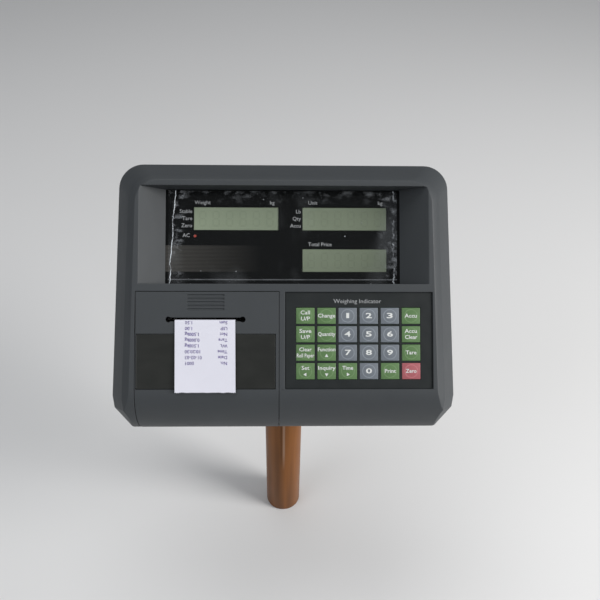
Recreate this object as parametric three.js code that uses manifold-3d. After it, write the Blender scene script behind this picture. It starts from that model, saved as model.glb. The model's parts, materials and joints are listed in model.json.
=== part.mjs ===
// Weighing indicator head with a built-in receipt printer, on a tilting and swivelling column.
// Millimetres, +Z up. The origin is the middle of the column's flat foot.
// The head is drawn in its own frame, x right, y into the head and z up its face, with the
// middle of the face at 0, and is then tilted back as one group.

import * as THREE from 'three';
import { mergeVertices } from 'three/addons/utils/BufferGeometryUtils.js';
import Module from 'manifold-3d';

const wasm = await Module();
wasm.setup();

// Driving dimensions
const GAP = 0.3;
const TILT = THREE.MathUtils.degToRad(45);

const HEAD_TOP = 107;
const HEAD_BOTTOM = -97;
const HALF_TOP = 129;
const HALF_BOTTOM = 132.7;
const TOP_RADIUS = 19;
const PARTING = 34;
const HEAD_DEPTH = 76;
const WALL = 3;
const FACE_WALL = 3.6;
const CHIN_START = -66;

const RECESS = { half: 108.6, bottom: 12, top: 85.5, depth: 19 };
const RECESS_BACK = { left: -90, right: 88, bottom: 12.3, top: 85.8 };
const PANEL_THICK = 2.5;

const COVER = { left: -109.9, right: -4, top: 6.1, back: 30, wall: 3.2 };
const COVER_SEAM = 0.3;
const HINGE = { y: 29.5, z: -92.5, pin: 1.5, knuckle: 4, length: 14 };
const WINDOW = { left: -109.1, right: -6.6, bottom: -65.6, top: -25.4, thick: 1.5, sunk: 0.2 };
const SLOT = { x: -58.2, z: -14.5, width: 59, height: 2.8, eye: 2.1 };
const GRIP = { x: -58, z: -1.8, width: 27, pitch: 2.6, count: 5, groove: 1.2, depth: 0.5 };

const KEYPAD = { left: 0.9, right: 110.3, bottom: -65.6, top: 5.7, sunk: 1.2, thick: 1 };
const KEYPAD_HOLE = { left: 4, right: 107, bottom: -62.5, top: 2.5 };
const KEY = { width: 14.3, height: 12.6, pitchX: 15.74, pitchZ: 13.67, left: 8.5, top: -5.4 };
const KEY_STEM = { radius: 3, end: 3.4 };
const KEY_BOARD = { front: 4, thick: 1.6 };

const PAPER = { x: -58.4, width: 44.5, thick: 0.4, bottom: -68.2, proud: 0.9 };
const ROLL = { x: -58.4, y: 44, z: -52, radius: 22, core: 6.5 };
const PRINTER = { left: -98, right: -20, front: 8, back: 46, bottom: -24, top: 3, plate: 1.6 };
const PLATEN = { y: 13, z: -8, radius: 4.5, shaft: 1.8 };
const GEAR = { module: 0.8, platenTeeth: 18, motorTeeth: 12, width: 4 };
const CARRIAGE = { y: 26, z: -12, rod: 1.5, x: -66, half: 16 };

const PIVOT = { y: 100, z: -40, bolt: 4, height: 229 };
const EAR = { inner: 19, thick: 4, radius: 12 };
const COLUMN = { radius: 17.5, wall: 1.5, top: 195, foot: 4 };
const SLEEVE = { radius: 23, bottom: 165, cap: 8, tongue: 18.2, round: 13 };
const SWIVEL_SCREW = { z: 181, radius: 4, knob: 12, from: 30, to: 45 };

const DOOR = { left: 48, right: 104, bottom: -84, top: -26 };
const INLET = { x: -84, z: 41, width: 27, height: 20, flange: 3 };
const SWITCH = { x: -46, z: 41, width: 13, height: 19, flange: 2 };
const ROCKER = { pivot: 75, tilt: THREE.MathUtils.degToRad(8) };
const SOCKET = { x: -84, z: -2, radius: 8, bore: 6, holes: 5 };

// Materials
const DARK_PLASTIC = { color: 0x42464a, roughness: 0.6, metalness: 0 };
const BLACK_GLOSS = { color: 0x08090a, roughness: 0.08, metalness: 0 };
const SMOKED = { color: 0x1c1d1b, roughness: 0.1, metalness: 0 };
const CLEAR_FILM = { color: 0xdfe6ea, roughness: 0.1, metalness: 0 };
const LCD_GLASS = { color: 0x93a08a, roughness: 0.2, metalness: 0 };
const OVERLAY = { color: 0x303437, roughness: 0.45, metalness: 0 };
const KEY_GREEN = { color: 0x5c8a54, roughness: 0.45, metalness: 0 };
const KEY_GREY = { color: 0x767c8a, roughness: 0.45, metalness: 0 };
const KEY_RED = { color: 0xbe5a64, roughness: 0.45, metalness: 0 };
const PAPER_WHITE = { color: 0xf3f2ec, roughness: 0.9, metalness: 0 };
const BOARD_GREEN = { color: 0x1d5a38, roughness: 0.5, metalness: 0 };
const STEEL = { color: 0xb9bcc0, roughness: 0.35, metalness: 1 };
const BLACK_PAINT = { color: 0x1a1b1c, roughness: 0.5, metalness: 0.2 };
const BLACK_PLASTIC = { color: 0x151617, roughness: 0.5, metalness: 0 };
const WHITE_PLASTIC = { color: 0xd9d9d2, roughness: 0.5, metalness: 0 };
const RUBBER = { color: 0x202020, roughness: 0.85, metalness: 0 };
const COPPER_CORE = { color: 0x6d5a3c, roughness: 0.5, metalness: 0.4 };
const COLUMN_BROWN = { color: 0x5a3a28, roughness: 0.25, metalness: 0.3 };

// Solid helpers

function toSolid(geometry) {
  const bare = geometry.clone();
  bare.deleteAttribute('normal');
  bare.deleteAttribute('uv');
  const merged = mergeVertices(bare, 1e-4);
  const corners = merged.index.array;
  const kept = [];
  for (let i = 0; i < corners.length; i += 3) {
    const [a, b, c] = [corners[i], corners[i + 1], corners[i + 2]];
    if (a !== b && b !== c && c !== a) kept.push(a, b, c);
  }
  return new wasm.Manifold(new wasm.Mesh({
    numProp: 3,
    vertProperties: new Float32Array(merged.attributes.position.array),
    triVerts: new Uint32Array(kept),
  }));
}

function toGeometry(solid) {
  const mesh = solid.getMesh();
  const geometry = new THREE.BufferGeometry();
  geometry.setAttribute('position', new THREE.BufferAttribute(mesh.vertProperties, 3));
  geometry.setIndex(new THREE.BufferAttribute(mesh.triVerts, 1));
  geometry.computeVertexNormals();
  return geometry;
}

function join(...parts) {
  return toGeometry(parts.map(toSolid).reduce((whole, next) => whole.add(next)));
}

function cut(base, ...tools) {
  return toGeometry(tools.map(toSolid).reduce((left, tool) => left.subtract(tool), toSolid(base)));
}

function common(first, second) {
  return toGeometry(toSolid(first).intersect(toSolid(second)));
}

// Shape helpers

function block(x0, x1, y0, y1, z0, z1) {
  const geometry = new THREE.BoxGeometry(x1 - x0, y1 - y0, z1 - z0);
  return geometry.translate((x0 + x1) / 2, (y0 + y1) / 2, (z0 + z1) / 2);
}

function rodX(x0, x1, y, z, radius, sides = 16) {
  const geometry = new THREE.CylinderGeometry(radius, radius, x1 - x0, sides);
  return geometry.rotateZ(Math.PI / 2).translate((x0 + x1) / 2, y, z);
}

function rodY(x, y0, y1, z, radius, sides = 16) {
  const geometry = new THREE.CylinderGeometry(radius, radius, y1 - y0, sides);
  return geometry.translate(x, (y0 + y1) / 2, z);
}

function rodZ(x, y, z0, z1, radius, sides = 32) {
  const geometry = new THREE.CylinderGeometry(radius, radius, z1 - z0, sides);
  return geometry.rotateX(Math.PI / 2).translate(x, y, (z0 + z1) / 2);
}

// Extrudes a shape drawn in x and z from y0 to y1.
function plateXZ(shape, y0, y1) {
  const options = { depth: y1 - y0, bevelEnabled: false, curveSegments: 6 };
  return new THREE.ExtrudeGeometry(shape, options).rotateX(Math.PI / 2).translate(0, y1, 0);
}

// Extrudes a shape drawn in y and z from x0 to x1.
function plateYZ(shape, x0, x1, curveSegments = 8) {
  const options = { depth: x1 - x0, bevelEnabled: false, curveSegments };
  const turn = new THREE.Matrix4().makeBasis(
    new THREE.Vector3(0, 1, 0),
    new THREE.Vector3(0, 0, 1),
    new THREE.Vector3(1, 0, 0),
  );
  return new THREE.ExtrudeGeometry(shape, options).applyMatrix4(turn).translate(x0, 0, 0);
}

function roundedRect(x0, x1, z0, z1, r) {
  const shape = new THREE.Shape();
  shape.moveTo(x0 + r, z0);
  shape.lineTo(x1 - r, z0);
  shape.absarc(x1 - r, z0 + r, r, -Math.PI / 2, 0, false);
  shape.lineTo(x1, z1 - r);
  shape.absarc(x1 - r, z1 - r, r, 0, Math.PI / 2, false);
  shape.lineTo(x0 + r, z1);
  shape.absarc(x0 + r, z1 - r, r, Math.PI / 2, Math.PI, false);
  shape.lineTo(x0, z0 + r);
  shape.absarc(x0 + r, z0 + r, r, Math.PI, Math.PI * 1.5, false);
  return shape;
}

// A box whose front and back rectangles differ.
function frustum(y0, front, y1, back) {
  const geometry = new THREE.BoxGeometry(2, 2, 2);
  const place = geometry.attributes.position;
  for (let i = 0; i < place.count; i += 1) {
    const rect = place.getY(i) < 0 ? front : back;
    const x = place.getX(i) < 0 ? rect.left : rect.right;
    const z = place.getZ(i) < 0 ? rect.bottom : rect.top;
    place.setXYZ(i, x, place.getY(i) < 0 ? y0 : y1, z);
  }
  return geometry;
}

// A gear's outline, with the middle of a tooth at angle 0.
function toothedShape(teeth, module, bore) {
  const shape = new THREE.Shape();
  const outer = module * (teeth + 2) / 2;
  const root = module * (teeth - 2.4) / 2;
  for (let i = 0; i < teeth; i += 1) {
    for (const [share, radius] of [[-0.37, root], [-0.12, outer], [0.12, outer], [0.37, root]]) {
      const angle = (i + share) * 2 * Math.PI / teeth;
      const point = [radius * Math.cos(angle), radius * Math.sin(angle)];
      if (i === 0 && share === -0.37) shape.moveTo(...point);
      else shape.lineTo(...point);
    }
  }
  if (bore > 0) shape.holes.push(new THREE.Path().absarc(0, 0, bore, 0, Math.PI * 2, true));
  return shape;
}

function lobedShape(radius, lobes) {
  const shape = new THREE.Shape();
  const steps = lobes * 6;
  for (let i = 0; i < steps; i += 1) {
    const angle = i * 2 * Math.PI / steps;
    const reach = radius * (0.88 + 0.12 * Math.cos(lobes * angle));
    const point = [reach * Math.cos(angle), reach * Math.sin(angle)];
    if (i === 0) shape.moveTo(...point);
    else shape.lineTo(...point);
  }
  return shape;
}

// Head casing

function halfWidthAt(z) {
  return HALF_TOP + (HALF_BOTTOM - HALF_TOP) * (HEAD_TOP - z) / (HEAD_TOP - HEAD_BOTTOM);
}

function headOutline() {
  const corner = HALF_TOP - TOP_RADIUS;
  const shape = new THREE.Shape();
  shape.moveTo(-115.4, HEAD_BOTTOM);
  shape.lineTo(115.4, HEAD_BOTTOM);
  shape.lineTo(122.7, -89.3);
  shape.lineTo(130.6, -81);
  shape.lineTo(halfWidthAt(-72), -72);
  shape.lineTo(HALF_TOP, HEAD_TOP - TOP_RADIUS);
  shape.absarc(corner, HEAD_TOP - TOP_RADIUS, TOP_RADIUS, 0, Math.PI / 2, false);
  shape.absarc(-corner, HEAD_TOP - TOP_RADIUS, TOP_RADIUS, Math.PI / 2, Math.PI, false);
  shape.lineTo(-halfWidthAt(-72), -72);
  shape.lineTo(-130.6, -81);
  shape.lineTo(-122.7, -89.3);
  return shape;
}

// Runs the head's outline through rings, from the front one to the back one. Each ring gives
// its depth, how far its sides step in and how far its top drops.
function casingLoft(rings) {
  const last = rings.length - 1;
  const options = { depth: last, steps: last, bevelEnabled: false, curveSegments: 6 };
  const geometry = new THREE.ExtrudeGeometry(headOutline(), options);
  const place = geometry.attributes.position;
  for (let i = 0; i < place.count; i += 1) {
    const [y, inset, drop] = rings[last - Math.round(place.getZ(i))];
    const z = place.getY(i);
    const squeeze = 1 - inset / halfWidthAt(z);
    const shrink = (HEAD_TOP - drop - HEAD_BOTTOM) / (HEAD_TOP - HEAD_BOTTOM);
    place.setXYZ(i, place.getX(i) * squeeze, y, HEAD_BOTTOM + (z - HEAD_BOTTOM) * shrink);
  }
  return geometry;
}

// The head's side profile, seen along x, set in by a wall thickness.
function sideProfile(face, wall) {
  const shape = new THREE.Shape();
  shape.moveTo(90, HEAD_TOP + 10);
  shape.lineTo(face, HEAD_TOP + 10);
  shape.lineTo(face, CHIN_START);
  const rise = CHIN_START - HEAD_BOTTOM - wall;
  shape.absellipse(PARTING, CHIN_START, PARTING - face, rise, Math.PI, Math.PI * 1.5, false);
  shape.lineTo(90, HEAD_BOTTOM + wall);
  return plateYZ(shape, -140, 140, 10);
}

function frontOuter() {
  const rings = [[0, 18, 17.3], [5, 12, 12.3], [24, 1, 0.5], [PARTING, 0, 0]];
  return common(casingLoft(rings), sideProfile(0, 0));
}

function frontInner() {
  const rings = [
    [FACE_WALL, 19.5, 18.8],
    [8, 15.5, 15.5],
    [25, WALL + 1, WALL + 0.5],
    [PARTING + 1, WALL, WALL],
  ];
  return common(casingLoft(rings), sideProfile(FACE_WALL, WALL));
}

function makeFrontCover() {
  const grown = {
    left: -RECESS.half - WALL,
    right: RECESS.half + WALL,
    bottom: RECESS.bottom - 2.2,
    top: RECESS.top + 2.2,
  };
  const grownBack = {
    left: RECESS_BACK.left - WALL,
    right: RECESS_BACK.right + WALL,
    bottom: RECESS_BACK.bottom - 2.2,
    top: RECESS_BACK.top + 2.2,
  };
  const mouth = { left: -RECESS.half, right: RECESS.half, bottom: RECESS.bottom, top: RECESS.top };
  const funnel = frustum(0.5, grown, RECESS.depth, grownBack);
  const seamLeft = COVER.left - COVER_SEAM;
  const seamRight = COVER.right + COVER_SEAM;
  const seamTop = COVER.top + COVER_SEAM;
  const rails = join(
    block(seamLeft - WALL, seamLeft, 2, PARTING - 1, HEAD_BOTTOM, seamTop + 2),
    block(seamRight, seamRight + WALL, 2, PARTING - 1, HEAD_BOTTOM, seamTop + 2),
    block(seamLeft - WALL, seamRight + WALL, 2, 12, seamTop, seamTop + 4),
  );
  const shell = cut(frontOuter(), frontInner());
  const body = join(shell, common(funnel, frontOuter()), common(rails, frontOuter()));
  return cut(
    body,
    frustum(-0.5, mouth, RECESS.depth + 1, RECESS_BACK),
    block(seamLeft, seamRight, -1, PARTING + 2, HEAD_BOTTOM - 2, seamTop),
    block(
      KEYPAD.left - GAP, KEYPAD.right + GAP, -1, KEYPAD.sunk + KEYPAD.thick + GAP / 2,
      KEYPAD.bottom - GAP, KEYPAD.top + GAP,
    ),
    block(
      KEYPAD_HOLE.left, KEYPAD_HOLE.right, 1, KEY_BOARD.front,
      KEYPAD_HOLE.bottom, KEYPAD_HOLE.top,
    ),
    rodX(seamLeft - WALL - 1, seamLeft + 1, HINGE.y, HINGE.z, HINGE.pin + GAP),
    rodX(seamRight - 1, seamRight + WALL + 1, HINGE.y, HINGE.z, HINGE.pin + GAP),
  );
}

function makeRearHousing() {
  const outerRings = [[PARTING + GAP, 0, 0], [58, 3, 3], [HEAD_DEPTH, 22, 20]];
  const innerRings = [[PARTING - 1, WALL, WALL], [57, 6, 6], [HEAD_DEPTH - WALL, 24, 22]];
  const outer = common(casingLoft(outerRings), sideProfile(0, 0));
  const inner = common(casingLoft(innerRings), sideProfile(0, WALL));
  return cut(
    cut(outer, inner),
    block(DOOR.left - 0.5, DOOR.right + 0.5, 70, 80, DOOR.bottom - 0.5, DOOR.top + 0.5),
    block(
      INLET.x - INLET.width / 2 - GAP, INLET.x + INLET.width / 2 + GAP, 70, 80,
      INLET.z - INLET.height / 2 - GAP, INLET.z + INLET.height / 2 + GAP,
    ),
    block(
      SWITCH.x - SWITCH.width / 2 - GAP, SWITCH.x + SWITCH.width / 2 + GAP, 70, 80,
      SWITCH.z - SWITCH.height / 2 - GAP, SWITCH.z + SWITCH.height / 2 + GAP,
    ),
    rodY(SOCKET.x, 70, 80, SOCKET.z, SOCKET.radius + GAP, 20),
  );
}

// Printer cover with its window, slot and grip grooves

function coverProfile() {
  const wall = COVER.wall;
  const reach = PARTING;
  const drop = CHIN_START - HEAD_BOTTOM;
  const end = Math.acos((reach - COVER.back) / reach);
  const innerEnd = Math.acos((reach - COVER.back) / (reach - wall));
  const shape = new THREE.Shape();
  shape.moveTo(wall, COVER.top);
  shape.lineTo(0, COVER.top);
  shape.lineTo(0, CHIN_START);
  shape.absellipse(reach, CHIN_START, reach, drop, Math.PI, Math.PI + end, false);
  shape.lineTo(COVER.back, CHIN_START - (drop - wall) * Math.sin(innerEnd));
  shape.absellipse(reach, CHIN_START, reach - wall, drop - wall, Math.PI + innerEnd, Math.PI, true);
  return shape;
}

function makePrinterCover() {
  const knuckles = [COVER.left, COVER.right - HINGE.length].map((x) => (
    rodX(x, x + HINGE.length, HINGE.y, HINGE.z, HINGE.knuckle, 20)
  ));
  const grooves = Array.from({ length: GRIP.count }, (_, i) => {
    const z = GRIP.z + (i - (GRIP.count - 1) / 2) * GRIP.pitch;
    return block(
      GRIP.x - GRIP.width / 2, GRIP.x + GRIP.width / 2, -1, GRIP.depth,
      z - GRIP.groove / 2, z + GRIP.groove / 2,
    );
  });
  const seat = WINDOW.thick + WINDOW.sunk + GAP;
  return cut(
    join(plateYZ(coverProfile(), COVER.left, COVER.right), ...knuckles),
    block(WINDOW.left - GAP, WINDOW.right + GAP, -1, seat, WINDOW.bottom - GAP, WINDOW.top + GAP),
    block(WINDOW.left + 4, WINDOW.right - 4, -1, 6, WINDOW.bottom + 4, WINDOW.top - 4),
    block(
      SLOT.x - SLOT.width / 2 + SLOT.eye, SLOT.x + SLOT.width / 2 - SLOT.eye, -1, 6,
      SLOT.z - SLOT.height / 2, SLOT.z + SLOT.height / 2,
    ),
    ...[-1, 1].map((side) => (
      rodY(SLOT.x + side * (SLOT.width / 2 - SLOT.eye), -1, 6, SLOT.z, SLOT.eye, 20)
    )),
    rodX(COVER.left - 1, COVER.right + 1, HINGE.y, HINGE.z, HINGE.pin + GAP),
    ...grooves,
  );
}

function makePrinterWindow() {
  const shape = roundedRect(WINDOW.left, WINDOW.right, WINDOW.bottom, WINDOW.top, 1);
  return plateXZ(shape, WINDOW.sunk, WINDOW.sunk + WINDOW.thick);
}

function makeHingePin() {
  return rodX(COVER.left - 3, COVER.right + 3, HINGE.y, HINGE.z, HINGE.pin, 12);
}

// Display

const SCREENS = {
  lcd_weight: { x: -37, z: 63.6 },
  lcd_unit_price: { x: 46.6, z: 63.6 },
  lcd_total_price: { x: 46.6, z: 31.4 },
};
const SCREEN_SIZE = { width: 65, height: 17.5, depth: 6 };

function makeDisplayPanel() {
  const y0 = RECESS.depth + GAP;
  const windows = Object.values(SCREENS).map(({ x, z }) => block(
    x - SCREEN_SIZE.width / 2 - GAP, x + SCREEN_SIZE.width / 2 + GAP, y0 - 1, y0 + PANEL_THICK + 1,
    z - SCREEN_SIZE.height / 2 - GAP, z + SCREEN_SIZE.height / 2 + GAP,
  ));
  return cut(block(-94, 92, y0, y0 + PANEL_THICK, 9.5, 88.5), ...windows);
}

function makeDisplayFilm() {
  const { left, right, bottom, top } = RECESS_BACK;
  return block(left + 1.2, right - 1.2, RECESS.depth - 0.7, RECESS.depth - 0.3, bottom + 0.8, top - 0.8);
}

function makeScreen({ x, z }) {
  const y0 = RECESS.depth + GAP + 0.6;
  return block(
    x - SCREEN_SIZE.width / 2, x + SCREEN_SIZE.width / 2, y0, y0 + SCREEN_SIZE.depth,
    z - SCREEN_SIZE.height / 2, z + SCREEN_SIZE.height / 2,
  );
}

// Keypad

const KEY_ROWS = [
  ['call_price', 'change', '1', '2', '3', 'accumulate'],
  ['save_price', 'quantity', '4', '5', '6', 'clear_total'],
  ['clear', 'function', '7', '8', '9', 'tare'],
  ['set', 'inquiry', 'time', '0', 'print', 'zero'],
];

function keyCentre(row, column) {
  return {
    x: KEY.left + KEY.width / 2 + column * KEY.pitchX,
    z: KEY.top - KEY.height / 2 - row * KEY.pitchZ,
  };
}

function makeKey(row, column) {
  const { x, z } = keyCentre(row, column);
  const halfW = KEY.width / 2 - GAP;
  const halfH = KEY.height / 2 - GAP;
  const y0 = KEYPAD.sunk - 0.1;
  const y1 = KEYPAD.sunk + KEYPAD.thick;
  return join(
    block(x - halfW, x + halfW, y0, y1, z - halfH, z + halfH),
    rodY(x, y1 - 0.2, KEY_STEM.end, z, KEY_STEM.radius, 8),
  );
}

function makeKeypadOverlay() {
  const holes = KEY_ROWS.flatMap((names, row) => names.map((_, column) => {
    const { x, z } = keyCentre(row, column);
    return block(x - KEY.width / 2, x + KEY.width / 2, 0, 4, z - KEY.height / 2, z + KEY.height / 2);
  }));
  const { left, right, bottom, top, sunk, thick } = KEYPAD;
  return cut(block(left, right, sunk, sunk + thick, bottom, top), ...holes);
}

function makeKeypadBoard() {
  const { front, thick } = KEY_BOARD;
  return block(3, 108, front + GAP, front + GAP + thick, KEYPAD_HOLE.bottom - 1.5, KEYPAD_HOLE.top + 1.5);
}

// Printer mechanism

const GEAR_X = PRINTER.right + 1;
const GEAR_DISTANCE = GEAR.module * (GEAR.platenTeeth + GEAR.motorTeeth) / 2 + 0.5;
const GEAR_LINE = -Math.PI / 3;
const MOTOR = {
  y: PLATEN.y + GEAR_DISTANCE * Math.cos(GEAR_LINE),
  z: PLATEN.z + GEAR_DISTANCE * Math.sin(GEAR_LINE),
  radius: 7,
  length: 13,
  shaft: 1.2,
};

function makePrinterFrame() {
  const { left, right, front, back, bottom, top, plate } = PRINTER;
  return cut(
    join(
      block(left, left + plate, front, back, bottom, top),
      block(right - plate, right, front, back, bottom, top),
      block(left, right, back - plate, back, bottom, top),
      rodX(left + 0.5, right - 0.5, CARRIAGE.y, CARRIAGE.z, CARRIAGE.rod, 12),
      rodX(left + 0.5, right - 0.5, CARRIAGE.y + 8, CARRIAGE.z - 6, CARRIAGE.rod, 12),
    ),
    rodX(left - 1, left + plate + 1, PLATEN.y, PLATEN.z, PLATEN.shaft + GAP),
    rodX(right - plate - 1, right + 1, PLATEN.y, PLATEN.z, PLATEN.shaft + GAP),
    rodX(right - plate - 1, right + 1, MOTOR.y, MOTOR.z, MOTOR.shaft + 0.8),
  );
}

function makePlatenRoller() {
  const gear = plateYZ(toothedShape(GEAR.platenTeeth, GEAR.module, 0), GEAR_X, GEAR_X + GEAR.width);
  gear.rotateX(GEAR_LINE + Math.PI / GEAR.platenTeeth);
  return join(
    rodX(PRINTER.left + 4, PRINTER.right - 4, PLATEN.y, PLATEN.z, PLATEN.radius, 20),
    rodX(PRINTER.left - 2, GEAR_X + 1, PLATEN.y, PLATEN.z, PLATEN.shaft, 12),
    gear.translate(0, PLATEN.y, PLATEN.z),
  );
}

function makeMotorGear() {
  const shape = toothedShape(GEAR.motorTeeth, GEAR.module, MOTOR.shaft + GAP);
  const gear = plateYZ(shape, GEAR_X, GEAR_X + GEAR.width).rotateX(GEAR_LINE + Math.PI);
  return gear.translate(0, MOTOR.y, MOTOR.z);
}

function makePrinterMotor() {
  const face = PRINTER.right - PRINTER.plate - GAP;
  return join(
    rodX(face - MOTOR.length, face, MOTOR.y, MOTOR.z, MOTOR.radius, 20),
    rodX(face - 1, GEAR_X + GEAR.width + 1, MOTOR.y, MOTOR.z, MOTOR.shaft, 12),
  );
}

function makePrintCarriage() {
  const { x, y, z, rod, half } = CARRIAGE;
  return cut(
    join(
      block(x - half, x + half, y - 4, y + 12, z - 10, z - 3),
      block(x - half, x + half, y - 5, y + 5, z - 4, z + 5),
      block(x - half + 2, x + half - 2, y - 7.5, y - 4, z - 3, z + 3),
    ),
    rodX(x - half - 1, x + half + 1, y, z, rod + GAP, 12),
    rodX(x - half - 1, x + half + 1, y + 8, z - 6, rod + GAP, 12),
  );
}

function makeRibbonCartridge() {
  return cut(
    plateYZ(new THREE.Shape([
      new THREE.Vector2(PRINTER.front + 1, -2),
      new THREE.Vector2(PRINTER.back - 3, -2),
      new THREE.Vector2(PRINTER.back - 3, 3),
      new THREE.Vector2(PRINTER.front + 1, 3),
    ]), PRINTER.left + 3, PRINTER.right - 27),
    block(PRINTER.left + 12, PRINTER.right - 36, PRINTER.front, PRINTER.front + 9, -3, 4),
  );
}

function makePaperRoll() {
  const half = PAPER.width / 2;
  return cut(
    rodX(ROLL.x - half, ROLL.x + half, ROLL.y, ROLL.z, ROLL.radius, 40),
    rodX(ROLL.x - half - 1, ROLL.x + half + 1, ROLL.y, ROLL.z, ROLL.core, 20),
  );
}

function makeRollSpindle() {
  const half = PAPER.width / 2;
  const arm = 2;
  const reach = half + 3;
  const arms = [ROLL.x - reach - arm, ROLL.x + reach].map((x) => (
    block(x, x + arm, ROLL.y - 7, HEAD_DEPTH - WALL - GAP, ROLL.z - 7, ROLL.z + 7)
  ));
  return join(
    rodX(ROLL.x - reach - 1, ROLL.x + reach + 1, ROLL.y, ROLL.z, ROLL.core - 1, 16),
    ...arms,
    block(
      ROLL.x - reach - arm, ROLL.x + reach + arm, HEAD_DEPTH - WALL - GAP - 2,
      HEAD_DEPTH - WALL - GAP, ROLL.z - 7, ROLL.z + 7,
    ),
  );
}

// The strip comes out of the slot, bends over its lower lip and hangs against the cover.
function makePaperStrip() {
  const { proud, thick, bottom } = PAPER;
  const bend = 1.6;
  const shape = new THREE.Shape();
  const z = SLOT.z;
  shape.moveTo(4.5, z);
  shape.lineTo(-proud + bend, z);
  shape.absarc(-proud + bend, z - bend, bend, Math.PI / 2, Math.PI, false);
  shape.lineTo(-proud, bottom);
  shape.lineTo(-proud + thick, bottom);
  shape.lineTo(-proud + thick, z - bend);
  shape.absarc(-proud + bend, z - bend, bend - thick, Math.PI, Math.PI / 2, true);
  shape.lineTo(4.5, z - thick);
  return plateYZ(shape, PAPER.x - PAPER.width / 2, PAPER.x + PAPER.width / 2, 4);
}

// Electrics

function makePowerInlet() {
  const { x, z, width, height, flange } = INLET;
  const back = HEAD_DEPTH + GAP;
  const pin = (dx, dz) => block(x + dx - 1, x + dx + 1, 64, 69.5, z + dz - 2, z + dz + 2);
  return join(
    cut(
      join(
        block(x - width / 2, x + width / 2, 60, back + 0.5, z - height / 2, z + height / 2),
        block(
          x - width / 2 - flange, x + width / 2 + flange, back, back + 1.6,
          z - height / 2 - flange, z + height / 2 + flange,
        ),
      ),
      plateXZ(roundedRect(x - 11, x + 11, z - 7.5, z + 7.5, 3), 64.5, back + 3),
    ),
    pin(-6, -2),
    pin(6, -2),
    pin(0, 2),
  );
}

function makeSwitchFrame() {
  const { x, z, width, height, flange } = SWITCH;
  const back = HEAD_DEPTH + GAP;
  return cut(
    join(
      block(x - width / 2, x + width / 2, 60, back + 0.5, z - height / 2, z + height / 2),
      block(
        x - width / 2 - flange, x + width / 2 + flange, back, back + 1.2,
        z - height / 2 - flange, z + height / 2 + flange,
      ),
    ),
    block(x - 5, x + 5, 66, back + 3, z - 8.2, z + 8.2),
  );
}

function makePowerRocker() {
  const { x, z } = SWITCH;
  const shape = new THREE.Shape();
  shape.moveTo(-4, -5);
  shape.lineTo(3.2, -7.2);
  shape.lineTo(2.2, 0);
  shape.lineTo(3.2, 7.2);
  shape.lineTo(-4, 5);
  return plateYZ(shape, x - 4.6, x + 4.6).rotateX(-ROCKER.tilt).translate(0, ROCKER.pivot, z);
}

function makeScaleSocket() {
  const { x, z, radius, bore } = SOCKET;
  const holes = Array.from({ length: SOCKET.holes }, (_, i) => {
    const angle = i * 2 * Math.PI / SOCKET.holes;
    return rodY(x + 3.2 * Math.cos(angle), 74, HEAD_DEPTH + 6, z + 3.2 * Math.sin(angle), 0.8, 8);
  });
  return cut(
    join(
      rodY(x, 66, HEAD_DEPTH + 5, z, radius, 20),
      rodY(x, HEAD_DEPTH + GAP, HEAD_DEPTH + 2, z, radius + 3, 6),
    ),
    rodY(x, HEAD_DEPTH + 3.5, HEAD_DEPTH + 7, z, bore, 20),
    ...holes,
  );
}

function makeBatteryDoor() {
  const { left, right, bottom, top } = DOOR;
  const notch = rodY((left + right) / 2, HEAD_DEPTH - 0.8, HEAD_DEPTH + 1, top - 9, 7, 20);
  return cut(block(left, right, HEAD_DEPTH - 2, HEAD_DEPTH, bottom, top), notch);
}

function makeTransformer() {
  return join(
    block(52, 100, 38, 68, 24, 74),
    block(60, 92, 32, 71, 34, 64),
  );
}

// Tilt bracket and column

function makeHeadBracket() {
  const outer = EAR.inner + EAR.thick;
  const plateBack = HEAD_DEPTH + GAP + 3;
  const ear = new THREE.Shape();
  ear.moveTo(HEAD_DEPTH + GAP, PIVOT.z - 24);
  ear.lineTo(plateBack, PIVOT.z - 24);
  ear.lineTo(PIVOT.y, PIVOT.z - EAR.radius);
  ear.absarc(PIVOT.y, PIVOT.z, EAR.radius, -Math.PI / 2, Math.PI / 2, false);
  ear.lineTo(plateBack, PIVOT.z + 24);
  ear.lineTo(HEAD_DEPTH + GAP, PIVOT.z + 24);
  return cut(
    join(
      block(-outer - 10, outer + 10, HEAD_DEPTH + GAP, plateBack, PIVOT.z - 28, PIVOT.z + 28),
      plateYZ(ear, -outer, -EAR.inner),
      plateYZ(ear, EAR.inner, outer),
    ),
    rodX(-40, 40, PIVOT.y, PIVOT.z, PIVOT.bolt + GAP, 16),
  );
}

function makePivotBolt() {
  const outer = EAR.inner + EAR.thick;
  return join(
    rodX(-outer - 1, 38, PIVOT.y, PIVOT.z, PIVOT.bolt, 16),
    rodX(-outer - 7, -outer - GAP, PIVOT.y, PIVOT.z, 7.5, 6),
  );
}

function makeTiltKnob() {
  const from = EAR.inner + EAR.thick + GAP;
  return cut(
    join(
      rodX(from, from + 6, PIVOT.y, PIVOT.z, 9, 20),
      plateYZ(lobedShape(16, 5), from + 5, from + 21).translate(0, PIVOT.y, PIVOT.z),
    ),
    rodX(from - 1, 40, PIVOT.y, PIVOT.z, PIVOT.bolt + GAP, 16),
  );
}

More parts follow.
